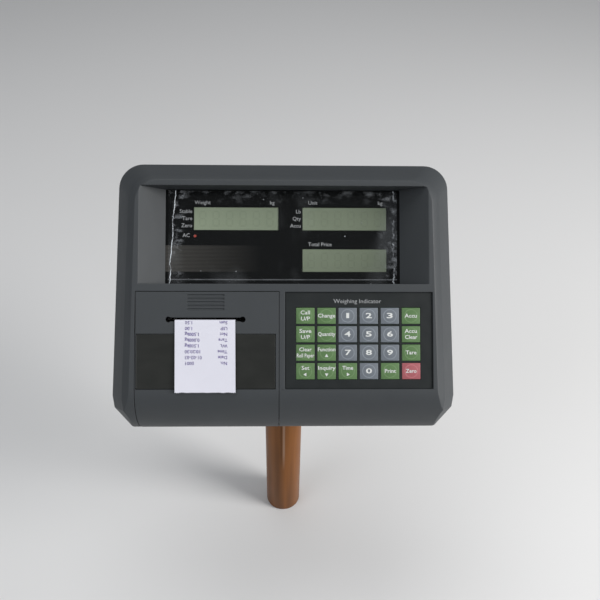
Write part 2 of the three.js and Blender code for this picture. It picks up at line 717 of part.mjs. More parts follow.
function makeColumnHead() {
  const top = COLUMN.top + GAP;
  const tongue = new THREE.Shape();
  tongue.moveTo(-SLEEVE.round, top + 2);
  tongue.lineTo(SLEEVE.round, top + 2);
  tongue.lineTo(SLEEVE.round, PIVOT.height);
  tongue.absarc(0, PIVOT.height, SLEEVE.round, 0, Math.PI, false);
  return cut(
    join(
      rodZ(0, 0, SLEEVE.bottom, top + SLEEVE.cap, SLEEVE.radius),
      plateYZ(tongue, -SLEEVE.tongue, SLEEVE.tongue),
    ),
    rodZ(0, 0, SLEEVE.bottom - 1, top, COLUMN.radius + GAP),
    rodX(-30, 30, 0, PIVOT.height, PIVOT.bolt + GAP, 16),
    rodY(0, 10, 30, SWIVEL_SCREW.z, SWIVEL_SCREW.radius + GAP, 16),
  );
}

function makeSwivelKnob() {
  const { z, radius, knob, from, to } = SWIVEL_SCREW;
  const star = plateXZ(lobedShape(knob, 5), from, to).translate(0, 0, z);
  return join(rodY(0, COLUMN.radius + GAP, from + 1, z, radius, 16), star);
}

function makeColumn() {
  const inner = COLUMN.radius - COLUMN.wall;
  const profile = [
    new THREE.Vector2(0, 0),
    new THREE.Vector2(COLUMN.radius, 0),
    new THREE.Vector2(COLUMN.radius, COLUMN.top),
    new THREE.Vector2(inner, COLUMN.top),
    new THREE.Vector2(inner, COLUMN.foot),
    new THREE.Vector2(0, COLUMN.foot),
  ];
  return toGeometry(toSolid(new THREE.LatheGeometry(profile, 40).rotateX(Math.PI / 2)));
}

// Assembly

function add(group, name, geometry, finish) {
  const mesh = new THREE.Mesh(geometry, new THREE.MeshStandardMaterial(finish));
  mesh.name = name;
  group.add(mesh);
}

const scale = new THREE.Group();
const tilted = new THREE.Group();
tilted.position.z = PIVOT.height;
tilted.rotation.x = -TILT;
scale.add(tilted);
const head = new THREE.Group();
head.position.set(0, -PIVOT.y, -PIVOT.z);
tilted.add(head);

add(head, 'front_cover', makeFrontCover(), DARK_PLASTIC);
add(head, 'rear_housing', makeRearHousing(), DARK_PLASTIC);
add(head, 'printer_cover', makePrinterCover(), DARK_PLASTIC);
add(head, 'printer_window', makePrinterWindow(), SMOKED);
add(head, 'cover_hinge_pin', makeHingePin(), STEEL);
add(head, 'display_panel', makeDisplayPanel(), BLACK_GLOSS);
add(head, 'display_film', makeDisplayFilm(), CLEAR_FILM);
for (const [name, centre] of Object.entries(SCREENS)) add(head, name, makeScreen(centre), LCD_GLASS);
add(head, 'display_board', block(-92, 90, 26.5, 28.1, 11, 87), BOARD_GREEN);
add(head, 'keypad_overlay', makeKeypadOverlay(), OVERLAY);
add(head, 'keypad_board', makeKeypadBoard(), BOARD_GREEN);
KEY_ROWS.forEach((names, row) => names.forEach((name, column) => {
  const finish = name === 'zero' ? KEY_RED : /^\d$/.test(name) ? KEY_GREY : KEY_GREEN;
  add(head, `key_${name}`, makeKey(row, column), finish);
}));
add(head, 'printer_frame', makePrinterFrame(), STEEL);
add(head, 'platen_roller', makePlatenRoller(), RUBBER);
add(head, 'motor_gear', makeMotorGear(), WHITE_PLASTIC);
add(head, 'printer_motor', makePrinterMotor(), STEEL);
add(head, 'print_carriage', makePrintCarriage(), BLACK_PLASTIC);
add(head, 'ribbon_cartridge', makeRibbonCartridge(), WHITE_PLASTIC);
add(head, 'paper_roll', makePaperRoll(), PAPER_WHITE);
add(head, 'roll_spindle', makeRollSpindle(), BLACK_PLASTIC);
add(head, 'paper_strip', makePaperStrip(), PAPER_WHITE);
add(head, 'main_board', block(-100, 44, 46, 47.6, 14, 84), BOARD_GREEN);
add(head, 'transformer', makeTransformer(), COPPER_CORE);
add(head, 'battery', block(6, 102, 24, 66, -88, -18), BLACK_PLASTIC);
add(head, 'battery_door', makeBatteryDoor(), DARK_PLASTIC);
add(head, 'power_inlet', makePowerInlet(), BLACK_PLASTIC);
add(head, 'switch_frame', makeSwitchFrame(), BLACK_PLASTIC);
add(head, 'power_rocker', makePowerRocker(), BLACK_PLASTIC);
add(head, 'scale_socket', makeScaleSocket(), STEEL);
add(head, 'head_bracket', makeHeadBracket(), BLACK_PAINT);
add(head, 'pivot_bolt', makePivotBolt(), STEEL);
add(head, 'tilt_knob', makeTiltKnob(), BLACK_PLASTIC);
add(scale, 'column_head', makeColumnHead(), BLACK_PAINT);
add(scale, 'swivel_knob', makeSwivelKnob(), BLACK_PLASTIC);
add(scale, 'column', makeColumn(), COLUMN_BROWN);

export default scale;
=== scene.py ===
"""Finished surfaces for a weighing indicator head with a receipt printer on its column."""

import json
import math

import bmesh
import bpy
from bpy.props import FloatProperty, FloatVectorProperty, IntProperty, PointerProperty
from mathutils import Matrix, Vector, noise


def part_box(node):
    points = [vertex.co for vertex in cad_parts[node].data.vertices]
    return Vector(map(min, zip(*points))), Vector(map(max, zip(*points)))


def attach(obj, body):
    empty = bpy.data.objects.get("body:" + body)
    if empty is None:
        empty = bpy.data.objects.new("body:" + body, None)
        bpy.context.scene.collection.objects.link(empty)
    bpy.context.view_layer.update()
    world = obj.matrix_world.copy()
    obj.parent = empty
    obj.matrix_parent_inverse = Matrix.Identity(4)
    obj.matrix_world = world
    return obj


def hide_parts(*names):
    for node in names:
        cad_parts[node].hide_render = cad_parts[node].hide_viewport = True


bl_info = {
    "name": "Weighing Indicator Finish",
    "version": (1, 0, 0),
    "blender": (4, 5, 0),
    "location": "View3D > Sidebar > Indicator",
    "description": "Finished surfaces of a weighing indicator with a receipt printer",
    "category": "Object",
}

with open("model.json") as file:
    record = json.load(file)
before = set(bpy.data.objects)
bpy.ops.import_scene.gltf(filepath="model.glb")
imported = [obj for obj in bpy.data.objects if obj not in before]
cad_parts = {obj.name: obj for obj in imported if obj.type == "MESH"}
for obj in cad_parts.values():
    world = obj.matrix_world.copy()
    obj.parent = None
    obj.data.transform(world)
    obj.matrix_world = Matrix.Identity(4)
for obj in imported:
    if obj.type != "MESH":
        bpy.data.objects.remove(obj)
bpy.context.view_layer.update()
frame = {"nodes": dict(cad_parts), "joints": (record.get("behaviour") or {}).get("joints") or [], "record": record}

# Millimetres are used for everything that is drawn in the head's own frame:
# x to the right, y into the head, z up its face, with the middle of the face at 0.
MM = 0.001
PIVOT_BACK = 100.0
PIVOT_UP = -40.0


def joint(name):
    return next(j for j in frame["joints"] if j["name"] == name)


def head_matrix():
    """From the head's own frame, in millimetres, to the row frame, in metres."""
    across = Vector((1, 0, 0))
    into = Vector(joint("key_0_press")["axis"]).normalized()
    up = across.cross(into)
    turn = Matrix((across, into, up)).transposed()
    pivot = Vector(joint("head_tilt")["pos_m"])
    centre = pivot - (into * PIVOT_BACK + up * PIVOT_UP) * MM
    return Matrix.Translation(centre) @ turn.to_4x4() @ Matrix.Scale(MM, 4)


HEAD = head_matrix()
HEAD_BACK = HEAD.inverted()
UPRIGHT = Matrix.Scale(MM, 4)


def local_box(node):
    """A CAD node's lowest and highest corners in the head's own frame, in millimetres."""
    points = [HEAD_BACK @ v.co for v in frame["nodes"][node].data.vertices]
    low = Vector([min(p[i] for p in points) for i in range(3)])
    high = Vector([max(p[i] for p in points) for i in range(3)])
    return low, high


def body_of(node):
    bodies = frame["record"]["behaviour"]["bodies"]
    return next(body for body, nodes in bodies.items() if node in nodes)


def slot_of(node):
    return next(s["material_slot"] for s in frame["record"]["subparts"] if s["node"] == node)


# Shader building

# Socket numbers: Object of Texture Coordinate, and the colour sockets of Mix.
OBJECT_OUTPUT = 3
MIX_FACTOR, MIX_FIRST, MIX_SECOND, MIX_OUTPUT = 0, 6, 7, 2


class Value:
    """A shader output that can be used in sums."""

    def __init__(self, shader, socket):
        self.shader = shader
        self.socket = socket

    def _math(self, operation, first, second):
        return self.shader.node("ShaderNodeMath", {"operation": operation}, {0: first, 1: second})

    def __add__(self, other):
        return self._math("ADD", self, other)

    def __radd__(self, other):
        return self._math("ADD", other, self)

    def __sub__(self, other):
        return self._math("SUBTRACT", self, other)

    def __rsub__(self, other):
        return self._math("SUBTRACT", other, self)

    def __mul__(self, other):
        return self._math("MULTIPLY", self, other)

    def __rmul__(self, other):
        return self._math("MULTIPLY", other, self)

    def __gt__(self, other):
        return self._math("GREATER_THAN", self, other)

    def __lt__(self, other):
        return self._math("LESS_THAN", self, other)

    def __abs__(self):
        return self._math("ABSOLUTE", self, 0.0)

    def wave(self, length):
        """0 to 1 and back over a length."""
        return self._math("SINE", self * (2 * math.pi / length), 0.0) * 0.5 + 0.5

    def ramp(self, low, high):
        """0 below low, 1 above high, and a straight slope between."""
        inputs = {0: self, 1: low, 2: high, 3: 0.0, 4: 1.0}
        return self.shader.node("ShaderNodeMapRange", {"clamp": True}, inputs)


class Shader:
    """One material and the nodes in it."""

    def __init__(self, name, **constants):
        self.material = bpy.data.materials.new(name)
        self.material.use_nodes = True
        self.tree = self.material.node_tree
        self.surface = self.tree.nodes["Principled BSDF"]
        self.set(**constants)

    def feed(self, socket, value):
        if isinstance(value, Value):
            self.tree.links.new(value.socket, socket)
        else:
            socket.default_value = value

    def node(self, kind, settings=None, inputs=None, output=0):
        made = self.tree.nodes.new(kind)
        for key, value in (settings or {}).items():
            setattr(made, key, value)
        for key, value in (inputs or {}).items():
            self.feed(made.inputs[key], value)
        return Value(self, made.outputs[output])

    def set(self, **inputs):
        for key, value in inputs.items():
            label = key.replace("_", " ").title().replace("Ior", "IOR")
            self.feed(self.surface.inputs[label], value)

    def object_point(self):
        """The point in the object's frame, in metres."""
        return self.node("ShaderNodeTexCoord", output=OBJECT_OUTPUT)

    def head_point(self):
        """The point in the head's own frame, in millimetres."""
        place, turn, size = HEAD_BACK.decompose()
        point = self.object_point()
        inputs = {"Vector": point, "Location": place, "Rotation": turn.to_euler(), "Scale": size}
        return self.node("ShaderNodeMapping", {"vector_type": "POINT"}, inputs)

    def axes(self, point):
        return [self.node("ShaderNodeSeparateXYZ", None, {0: point}, i) for i in range(3)]

    def noise(self, point, scale, detail=2.0, rough=0.5):
        inputs = {"Vector": point, "Scale": scale, "Detail": detail, "Roughness": rough}
        return self.node("ShaderNodeTexNoise", None, inputs)

    def stretched(self, point, scale):
        inputs = {"Vector": point, "Scale": scale}
        return self.node("ShaderNodeMapping", {"vector_type": "POINT"}, inputs)

    def mix(self, factor, first, second):
        settings = {"data_type": "RGBA", "clamp_factor": True}
        inputs = {MIX_FACTOR: factor, MIX_FIRST: first, MIX_SECOND: second}
        return self.node("ShaderNodeMix", settings, inputs, MIX_OUTPUT)

    def bump(self, height, strength, distance):
        inputs = {"Height": height, "Strength": strength, "Distance": distance}
        self.set(normal=self.node("ShaderNodeBump", None, inputs))


def rgba(colour, gain=1.0):
    return (colour[0] * gain, colour[1] * gain, colour[2] * gain, 1.0)


MATERIALS = {}


def material(name):
    """The named finish, made the first time that it is asked for."""
    if name not in MATERIALS:
        MATERIALS[name] = FINISHES[name](name).material
    return MATERIALS[name]


def moulded(colour, roughness, grain, depth):
    """Moulded plastic with a spark-eroded grain, slight colour drift and handling marks."""

    def make(name):
        shader = Shader(name, specular_ior_level=0.45)
        point = shader.head_point()
        drift = shader.noise(point, 0.03, 3.0)
        fine = shader.noise(point, grain, 2.0, 0.6)
        rubbed = shader.noise(shader.stretched(point, (0.02, 0.05, 0.012)), 3.0, 4.0, 0.7)
        tone = shader.mix(drift, rgba(colour, 0.9), rgba(colour, 1.1))
        shader.set(
            base_color=shader.mix(fine * 0.25, tone, rgba(colour, 1.45)),
            roughness=roughness + rubbed * 0.14 + fine * 0.06,
        )
        shader.bump(fine, depth, 0.00012)
        return shader

    return make


def casing_finish(name):
    look = bpy.context.scene.indicator_casing
    return moulded(look.colour, look.roughness, look.grain, 0.45)(name)


def display_finish(name):
    """Black back-printed acrylic with a grey pin-striped band that fades out to the right."""
    look = bpy.context.scene.indicator_display
    shader = Shader(name, specular_ior_level=0.16)
    point = shader.head_point()
    x, _, z = shader.axes(point)
    inside = (z > look.band_low) * (z < look.band_high)
    fade = 1.0 - x.ramp(look.band_left, look.band_right)
    stripes = z.wave(look.stripe_pitch) * 0.75 + 0.25
    smear = shader.noise(shader.stretched(point, (0.02, 0.02, 0.06)), 2.0, 4.0)
    band = inside * fade * stripes
    shader.set(
        base_color=shader.mix(band, rgba(look.panel_colour), rgba(look.band_colour)),
        roughness=0.1 + smear.ramp(0.45, 0.75) * 0.22,
    )
    return shader


def film_finish(name):
    """Clear protective film: nearly invisible but for specks, with painted highlights along its crinkled rim and
    lifted sides and a painted sheen in patches.
    """
    # The white shows only where alpha is raised: in the specks, and in the painted highlights and painted sheen.
    speck_and_glint_white = (0.80, 0.85, 0.90, 1.0)
    shader = Shader(name, base_color=speck_and_glint_white, roughness=0.2, specular_ior_level=0.35)
    point = shader.head_point()
    x, _, z = shader.axes(point)
    low, high = local_box("display_film")
    drift = shader.noise(shader.stretched(point, (0.004, 0.004, 0.045)), 1.0, 3.0)
    broken = shader.noise(shader.stretched(point, (0.08, 0.08, 0.11)), 1.0, 4.0, 0.7)
    ragged = shader.noise(shader.stretched(point, (0.01, 0.01, 0.30)), 1.0, 3.0)
    # Painted highlights: bright lines along the lifted left and right edges and along the foot of the film.
    left_edge = x - low.x + 2.2 - drift * 5.0 - ragged * 1.6 - (z - low.z) * 0.055
    left = 1.0 - abs(left_edge).ramp(0.08, 0.45)
    right_edge = x - high.x + 7.0 - drift * 5.0 - ragged * 4.0
    right = (1.0 - abs(right_edge).ramp(0.1, 0.8)) * broken.ramp(0.52, 0.7)
    # Painted sheen: pale patches over the crinkles near the left edge, along the top and the right edge, and in a
    # smear.
    band = 1.0 - abs(x - low.x - 6.0 - drift * 3.0).ramp(2.0, 5.0)
    folds = shader.noise(shader.stretched(point, (0.10, 0.10, 0.16)), 1.0, 5.0, 0.75)
    crinkle = folds.ramp(0.52, 0.68)
    top = (1.0 - (high.z - z).ramp(2.0, 11.0)) * crinkle
    foot = 1.0 - abs(z - low.z - 2.6 - drift * 1.5).ramp(0.15, 0.6)
    smear = shader.noise(shader.stretched(point, (0.022, 0.022, 0.012)), 1.0, 3.0).ramp(0.52, 0.75)
    edge = 1.0 - (high.x - x).ramp(3.0, 16.0)
    cells = {"Vector": point, "Scale": 0.15, "Randomness": 1.0}
    specks = 1.0 - shader.node("ShaderNodeTexVoronoi", {"feature": "F1"}, cells).ramp(0.03, 0.07)
    few = shader.noise(point, 0.04, 2.0).ramp(0.45, 0.6)
    # The highlight lines and the sheen are painted light.
    lines = left * (broken.ramp(0.38, 0.62) * 0.62 + 0.08) + right * 0.42 + foot * broken * 0.14
    painted_sheen = band * crinkle * 0.12 + top * 0.085 + smear * 0.03 + edge * crinkle * 0.12
    alpha = lines + painted_sheen + specks * few * 0.45 + 0.002
    shader.set(alpha=alpha.ramp(0.0, 1.0))
    shader.bump(crinkle * 0.5 + left * 0.5 + broken * 0.4, 0.6, 0.001)
    shader.material.surface_render_method = "BLENDED"
    return shader


def crystal(gain):
    """Unlit grey-green liquid crystal glass with faint rows, and painted shade: lighter at the left and top,
    darker to the right and towards the bottom.
    """

    def make(name):
        colour = bpy.context.scene.indicator_display.lcd_colour
        shader = Shader(name, specular_ior_level=0.2)
        point = shader.head_point()
        x, _, z = shader.axes(point)
        cloud = shader.noise(point, 0.06, 3.0)
        # Painted shade across the glass: light at the left and top, deep to the right and the bottom.
        across, down = x.ramp(-70.0, 80.0), (60.0 - z).ramp(0.0, 40.0)
        shade = (across * 0.7 + down * 0.3 + cloud * 0.25) * (1.0 - z.wave(0.9) * 0.1)
        light, deep = rgba(colour, 1.15 * gain), rgba(colour, 0.55 * gain)
        shader.set(base_color=shader.mix(shade, light, deep))
        shader.set(roughness=0.3 + cloud * 0.12)
        return shader

    return make


def smoked_finish(name):
    shader = Shader(name, coat_weight=0.35, coat_roughness=0.12, specular_ior_level=0.4)
    point = shader.head_point()
    haze = shader.noise(shader.stretched(point, (0.03, 0.03, 0.08)), 1.6, 5.0, 0.6)
    shader.set(base_color=shader.mix(haze, (0.012, 0.013, 0.0115, 1.0), (0.022, 0.023, 0.020, 1.0)))
    shader.set(roughness=0.22 + haze * 0.25)
    shader.bump(shader.noise(point, 2.5), 0.08, 0.0001)
    return shader


def printed(colour):
    """Screen-printed polyester with a fine matt emboss."""

    def make(name):
        shader = Shader(name, specular_ior_level=0.45)
        point = shader.head_point()
        weave = shader.noise(point, 4.5, 2.0)
        cloud = shader.noise(point, 0.09, 3.0)
        worn = shader.noise(point, 0.5, 4.0).ramp(0.55, 0.85)
        tone = shader.mix(cloud, rgba(colour, 0.86), rgba(colour, 1.14))
        shader.set(base_color=shader.mix(worn * 0.22, tone, rgba(colour, 1.7)))
        shader.set(roughness=0.36 + cloud * 0.16)
        shader.bump(weave, 0.2, 0.00008)
        return shader

    return make


def legend(thin, thick, patch):
    """Screen-printed lettering, thinner in patches."""

    def make(name):
        shader = Shader(name, roughness=0.5)
        patchy = shader.noise(shader.head_point(), patch, 3.0)
        shader.set(base_color=shader.mix(patchy, rgba(thin), rgba(thick)))
        return shader

    return make


def ink_finish(name):
    """Purple ribbon ink laid down by pins: a grid of small round dots, uneven from line to line."""
    look = bpy.context.scene.indicator_paper
    shader = Shader(name, roughness=0.7, specular_ior_level=0.2)
    point = shader.head_point()
    x, _, z = shader.axes(point)
    half = look.dot_pitch / 2
    across = shader.node("ShaderNodeMath", {"operation": "PINGPONG"}, {0: x, 1: half})
    along = shader.node("ShaderNodeMath", {"operation": "PINGPONG"}, {0: z, 1: half})
    area = look.dot_pitch ** 2
    dot = 1.0 - (across * across + along * along).ramp(0.1 * area, 0.3 * area)
    patchy = shader.noise(shader.stretched(point, (0.3, 0.3, 0.12)), 1.0, 3.0)
    thick, thin = rgba(look.ink_colour, 0.8), rgba(look.ink_colour, 1.5)
    shader.set(base_color=shader.mix(patchy, thick, thin))
    shader.set(alpha=(dot * 0.75 + 0.25) * patchy.ramp(0.15, 0.5) * 0.9)
    shader.material.surface_render_method = "BLENDED"
    return shader


def paper_finish(name):
    look = bpy.context.scene.indicator_paper
    shader = Shader(name, specular_ior_level=0.25)
    point = shader.head_point()
    fibre = shader.noise(shader.stretched(point, (1.0, 1.0, 2.2)), 2.2, 4.0, 0.65)
    cloud = shader.noise(point, 0.08, 3.0)
    dull, bright = rgba(look.paper_colour, 0.94), rgba(look.paper_colour, 1.03)
    shader.set(
        base_color=shader.mix(cloud * 0.6 + fibre * 0.4, dull, bright),
        roughness=0.78 + fibre * 0.15,
    )
    shader.bump(fibre, 0.25, 0.00008)
    return shader


def board_finish(name):
    """Green solder mask over copper tracks."""
    shader = Shader(name, specular_ior_level=0.5)
    point = shader.head_point()
    cells = shader.node(
        "ShaderNodeTexVoronoi",
        {"feature": "F1", "distance": "MANHATTAN"},
        {"Vector": point, "Scale": 0.22, "Randomness": 0.9},
    )
    tracks = cells.wave(0.22).ramp(0.55, 0.65)
    pads = 1.0 - cells.ramp(0.1, 0.14)
    mask = shader.mix(tracks, (0.008, 0.075, 0.03, 1.0), (0.02, 0.15, 0.06, 1.0))
    shader.set(base_color=shader.mix(pads, mask, (0.62, 0.58, 0.5, 1.0)))
    shader.set(roughness=0.35 + pads * 0.1, metallic=pads * 0.8)
    shader.bump(tracks, 0.3, 0.0001)
    return shader


def brushed(colour, roughness):
    """Bright metal with fine lines along x."""

    def make(name):
        shader = Shader(name, metallic=1.0)
        point = shader.head_point()
        lines = shader.noise(shader.stretched(point, (0.06, 2.4, 2.4)), 2.0, 3.0)
        cloud = shader.noise(point, 0.07, 3.0)
        shader.set(base_color=shader.mix(cloud, rgba(colour, 0.85), rgba(colour, 1.1)))
        shader.set(roughness=roughness + lines * 0.16)
        shader.bump(lines, 0.12, 0.0001)
        return shader

    return make


def powder_coat_finish(name):
    shader = Shader(name, specular_ior_level=0.5)
    point = shader.head_point()
    peel = shader.noise(point, 0.9, 3.0)
    cloud = shader.noise(point, 0.06, 3.0)
    shader.set(base_color=shader.mix(cloud, (0.010, 0.010, 0.011, 1.0), (0.018, 0.018, 0.020, 1.0)))
    shader.set(roughness=0.34 + cloud * 0.18)
    shader.bump(peel, 0.3, 0.0003)
    return shader


def laminated_finish(name):
    shader = Shader(name, metallic=0.5)
    point = shader.head_point()
    _, y, _ = shader.axes(point)
    sheets = y.wave(0.7)
    rust = shader.noise(point, 0.15, 4.0)
    shader.set(base_color=shader.mix(sheets, (0.03, 0.028, 0.026, 1.0), (0.16, 0.12, 0.08, 1.0)))
    shader.set(roughness=0.4 + rust * 0.25)
    shader.bump(sheets, 0.5, 0.0003)
    return shader


def lacquer_finish(name):
    """Glossy brown lacquer over steel tube, with flow marks, small scuffs, and a painted highlight streak and a
    painted reflection streak in front.
    """
    look = bpy.context.scene.indicator_column
    shader = Shader(name, coat_weight=0.14, coat_roughness=0.05, specular_ior_level=0.08)
    point = shader.object_point()
    x, y, z = shader.axes(shader.stretched(point, (1 / MM, 1 / MM, 1 / MM)))
    flow = shader.noise(shader.stretched(point, (110.0, 110.0, 6.0)), 1.0, 3.0, 0.5)
    cloud = shader.noise(point, 40.0, 3.0)
    rubs = shader.noise(shader.stretched(point, (500.0, 500.0, 120.0)), 1.0, 5.0, 0.7)
    scuff = rubs.ramp(0.62, 0.75)
    # Painted highlight and painted reflection: a pale streak and a dark streak down the front of the column
    # towards its top.
    front = (y < 0.0) * z.ramp(72.0, 100.0)
    pale = front * (1.0 - abs(x - 0.4).ramp(0.5, 1.5))
    dark = front * (1.0 - abs(x + 2.0).ramp(0.4, 1.4))
    tone = shader.mix(flow.ramp(0.3, 0.7), rgba(look.colour, 0.72), rgba(look.colour, 1.28))
    worn = shader.mix(scuff * 0.25 + cloud * 0.1, tone, rgba(look.colour, 1.9))
    with_painted_reflection = shader.mix(dark * 0.6, worn, rgba(look.colour, 0.4))
    shader.set(base_color=shader.mix(pale * 0.45, with_painted_reflection, (0.36, 0.27, 0.21, 1.0)))
    shader.set(roughness=0.34 + cloud * 0.14 + scuff * 0.2)
    shader.bump(flow, 0.12, 0.0004)
    return shader


def lamp_finish(name):
    shader = Shader(name, roughness=0.25, coat_weight=0.5)
    cloud = shader.noise(shader.head_point(), 0.8, 2.0)
    shader.set(base_color=shader.mix(cloud, (0.25, 0.03, 0.02, 1.0), (0.4, 0.07, 0.05, 1.0)))
    return shader


def floor_finish(name):
    shader = Shader(name, roughness=0.85, specular_ior_level=0.1)
    cloud = shader.noise(shader.object_point(), 1.2, 3.0)
    shader.set(base_color=shader.mix(cloud, (0.74, 0.74, 0.735, 1.0), (0.77, 0.77, 0.77, 1.0)))
    return shader


FINISHES = {
    "casing_plastic": casing_finish,
    "display_gloss": display_finish,
    "clear_film": film_finish,
    "lcd_glass": crystal(1.0),
    "smoked_acrylic": smoked_finish,
    "overlay_print": printed((0.012, 0.015, 0.0155)),
    "key_green": printed((0.102, 0.188, 0.074)),
    "key_grey": printed((0.152, 0.172, 0.196)),
    "key_red": printed((0.36, 0.105, 0.118)),
    # The ring colours are lighter copies of the key colours: painted highlight on the embossed rings.
    "ring_green": printed((0.142, 0.240, 0.106)),
    "ring_grey": printed((0.225, 0.252, 0.282)),
    "ring_red": printed((0.46, 0.155, 0.17)),
    "circuit_board": board_finish,
    "bright_steel": brushed((0.62, 0.62, 0.61), 0.28),
    "black_paint": powder_coat_finish,
    "black_plastic": moulded((0.014, 0.014, 0.015), 0.42, 1.4, 0.3),
    "white_plastic": moulded((0.66, 0.65, 0.60), 0.45, 1.2, 0.1),
    "roller_rubber": moulded((0.018, 0.018, 0.019), 0.75, 3.0, 0.5),
    "receipt_paper": paper_finish,
    "laminated_core": laminated_finish,
    "column_lacquer": lacquer_finish,
    "legend_white": legend((0.55, 0.57, 0.56), (0.80, 0.82, 0.80), 1.6),
    "legend_dim": legend((0.26, 0.27, 0.28), (0.42, 0.43, 0.44), 1.2),
    "lcd_ghost": crystal(0.92),
    "ribbon_ink": ink_finish,
    "lamp_red": lamp_finish,
    "pale_floor": floor_finish,
}

# Mesh building

SHARP = math.radians(33)
FLAT = math.radians(1)
ROUNDED_FROM = math.radians(20)
WELD = 2e-6
LEVEL = 1e-4
WORD_WELD = 0.0005


def soften_shading(bm):
    for face in bm.faces:
        face.smooth = True
    for edge in bm.edges:
        edge.smooth = len(edge.link_faces) != 2 or edge.calc_face_angle(0.0) < SHARP


def finished(name, bm, place, node, finishes, replaces=True):
    """Makes an object of a bmesh, which rides with a node's body and may stand for that node."""
    bm.transform(place)
    bmesh.ops.recalc_face_normals(bm, faces=bm.faces)
    soften_shading(bm)
    mesh = bpy.data.meshes.new(name)
    bm.to_mesh(mesh)
    bm.free()
    piece = bpy.data.objects.new(name, mesh)
    bpy.context.scene.collection.objects.link(piece)
    for finish in finishes:
        mesh.materials.append(material(finish))
    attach(piece, body_of(node))
    if replaces:
        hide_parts(node)
    return piece


def sharp_edges(bm, angle=SHARP):
    return [e for e in bm.edges if len(e.link_faces) == 2 and e.calc_face_angle(0.0) > angle]


def round_edges(bm, width, segments=2, edges=None):
    bmesh.ops.bevel(
        bm,
        geom=sharp_edges(bm) if edges is None else edges,
        offset=width,
        offset_type="OFFSET",
        affect="EDGES",
        segments=segments,
        profile=0.5,
        material=-1,
        clamp_overlap=True,
    )


def paint(verts, slot):
    for face in {f for v in verts for f in v.link_faces}:
        face.material_index = slot


def slab(bm, x0, x1, y0, y1, z0, z1, slot=0):
    """Adds a box between two corners."""
    size = Matrix.Diagonal((x1 - x0, y1 - y0, z1 - z0, 1.0))
    place = Matrix.Translation(((x0 + x1) / 2, (y0 + y1) / 2, (z0 + z1) / 2))
    made = bmesh.ops.create_cube(bm, size=1.0, matrix=place @ size)
    paint(made["verts"], slot)
    return made["verts"]


def disc(bm, x, y0, y1, z, radius, segments):
    """Adds a short cylinder that stands on y."""
    place = Matrix.Translation((x, (y0 + y1) / 2, z)) @ Matrix.Rotation(math.pi / 2, 4, "X")
    ends = {"radius1": radius, "radius2": radius, "depth": y1 - y0}
    made = bmesh.ops.create_cone(bm, cap_ends=True, segments=segments, matrix=place, **ends)
    return made["verts"]


def add_words(
    bm, words, size, place, align="CENTER", slot=1, bold=0.0, fit=0.0, turned=False, thick=0.02
):
    """Adds raised lettering that faces out of the head's face and fits a width, if given."""
    curve = bpy.data.curves.new("words", "FONT")
    curve.body = words
    curve.size = size
    curve.align_x = align
    curve.align_y = "CENTER"
    curve.resolution_u = 2
    curve.extrude = thick
    curve.offset = bold * size
    holder = bpy.data.objects.new("words", curve)
    bpy.context.scene.collection.objects.link(holder)
    bpy.context.view_layer.update()
    solid = holder.evaluated_get(bpy.context.evaluated_depsgraph_get())
    flat = bpy.data.meshes.new_from_object(solid)
    bpy.data.objects.remove(holder)
    bpy.data.curves.remove(curve)
    spin = Matrix.Rotation(math.pi, 4, "Y") if turned else Matrix.Identity(4)
    stand = Matrix.Rotation(math.pi / 2, 4, "X")
    reach = [v.co.x for v in flat.vertices]
    squeeze = fit / (max(reach) - min(reach)) if fit else 1.0
    narrow = Matrix.Diagonal((squeeze, 1.0, 1.0, 1.0))
    flat.transform(Matrix.Translation(place) @ spin @ stand @ narrow)
    welded = bmesh.new()
    welded.from_mesh(flat)
    bmesh.ops.remove_doubles(welded, verts=welded.verts, dist=WORD_WELD)
    for face in welded.faces:
        face.material_index = slot
    welded.to_mesh(flat)
    welded.free()
    bm.from_mesh(flat)
    bpy.data.meshes.remove(flat)


def rounded_copy(name, node, width, segments=2):
    """A CAD node's shape with flat regions joined and its edges rounded."""
    bm = bmesh.new()
    bm.from_mesh(frame["nodes"][node].data)
    bmesh.ops.remove_doubles(bm, verts=bm.verts, dist=WELD)
    bmesh.ops.dissolve_limit(bm, angle_limit=FLAT, verts=bm.verts, edges=bm.edges)
    bmesh.ops.triangulate(bm, faces=[f for f in bm.faces if len(f.verts) > 4])
    bmesh.ops.bevel(
        bm,
        geom=sharp_edges(bm, ROUNDED_FROM),
        offset=width * MM,
        offset_type="OFFSET",
        affect="EDGES",
        segments=segments,
        profile=0.5,
        material=-1,
        clamp_overlap=False,
    )
    piece = finished(name, bm, Matrix.Identity(4), node, [slot_of(node)])
    even = piece.modifiers.new("even_flats", "WEIGHTED_NORMAL")
    even.mode = "FACE_AREA"
    even.weight = 100
    even.keep_sharp = True
    return piece


def level_edges(edges, axis):
    return [e for e in edges if abs(e.verts[0].co[axis] - e.verts[1].co[axis]) < LEVEL]


def screw(bm, x, y, z, radius):
    """Adds a pan-head screw that faces the back, with a flat black cross painted as the shade of its cross recess.
    """
    top = y + radius * 0.62
    collar = disc(bm, x, y - 0.3, y + 0.35, z, radius * 1.35, 24)
    head = disc(bm, x, y + 0.3, top, z, radius, 24)
    rims = level_edges({e for v in head + collar for e in v.link_edges}, 1)
    round_edges(bm, radius * 0.14, 2, rims)
    # Painted shade: a thin black cross on the head stands for the cross recess.
    for wide, tall in ((0.6, 0.1), (0.1, 0.6)):
        across, up = radius * wide, radius * tall
        slab(bm, x - across, x + across, top - 0.2, top + 0.03, z - up, z + up, 1)


# User-changed sizes and colours. Sizes are in millimetres, so they take no unit of length,
# which would show them in metres.


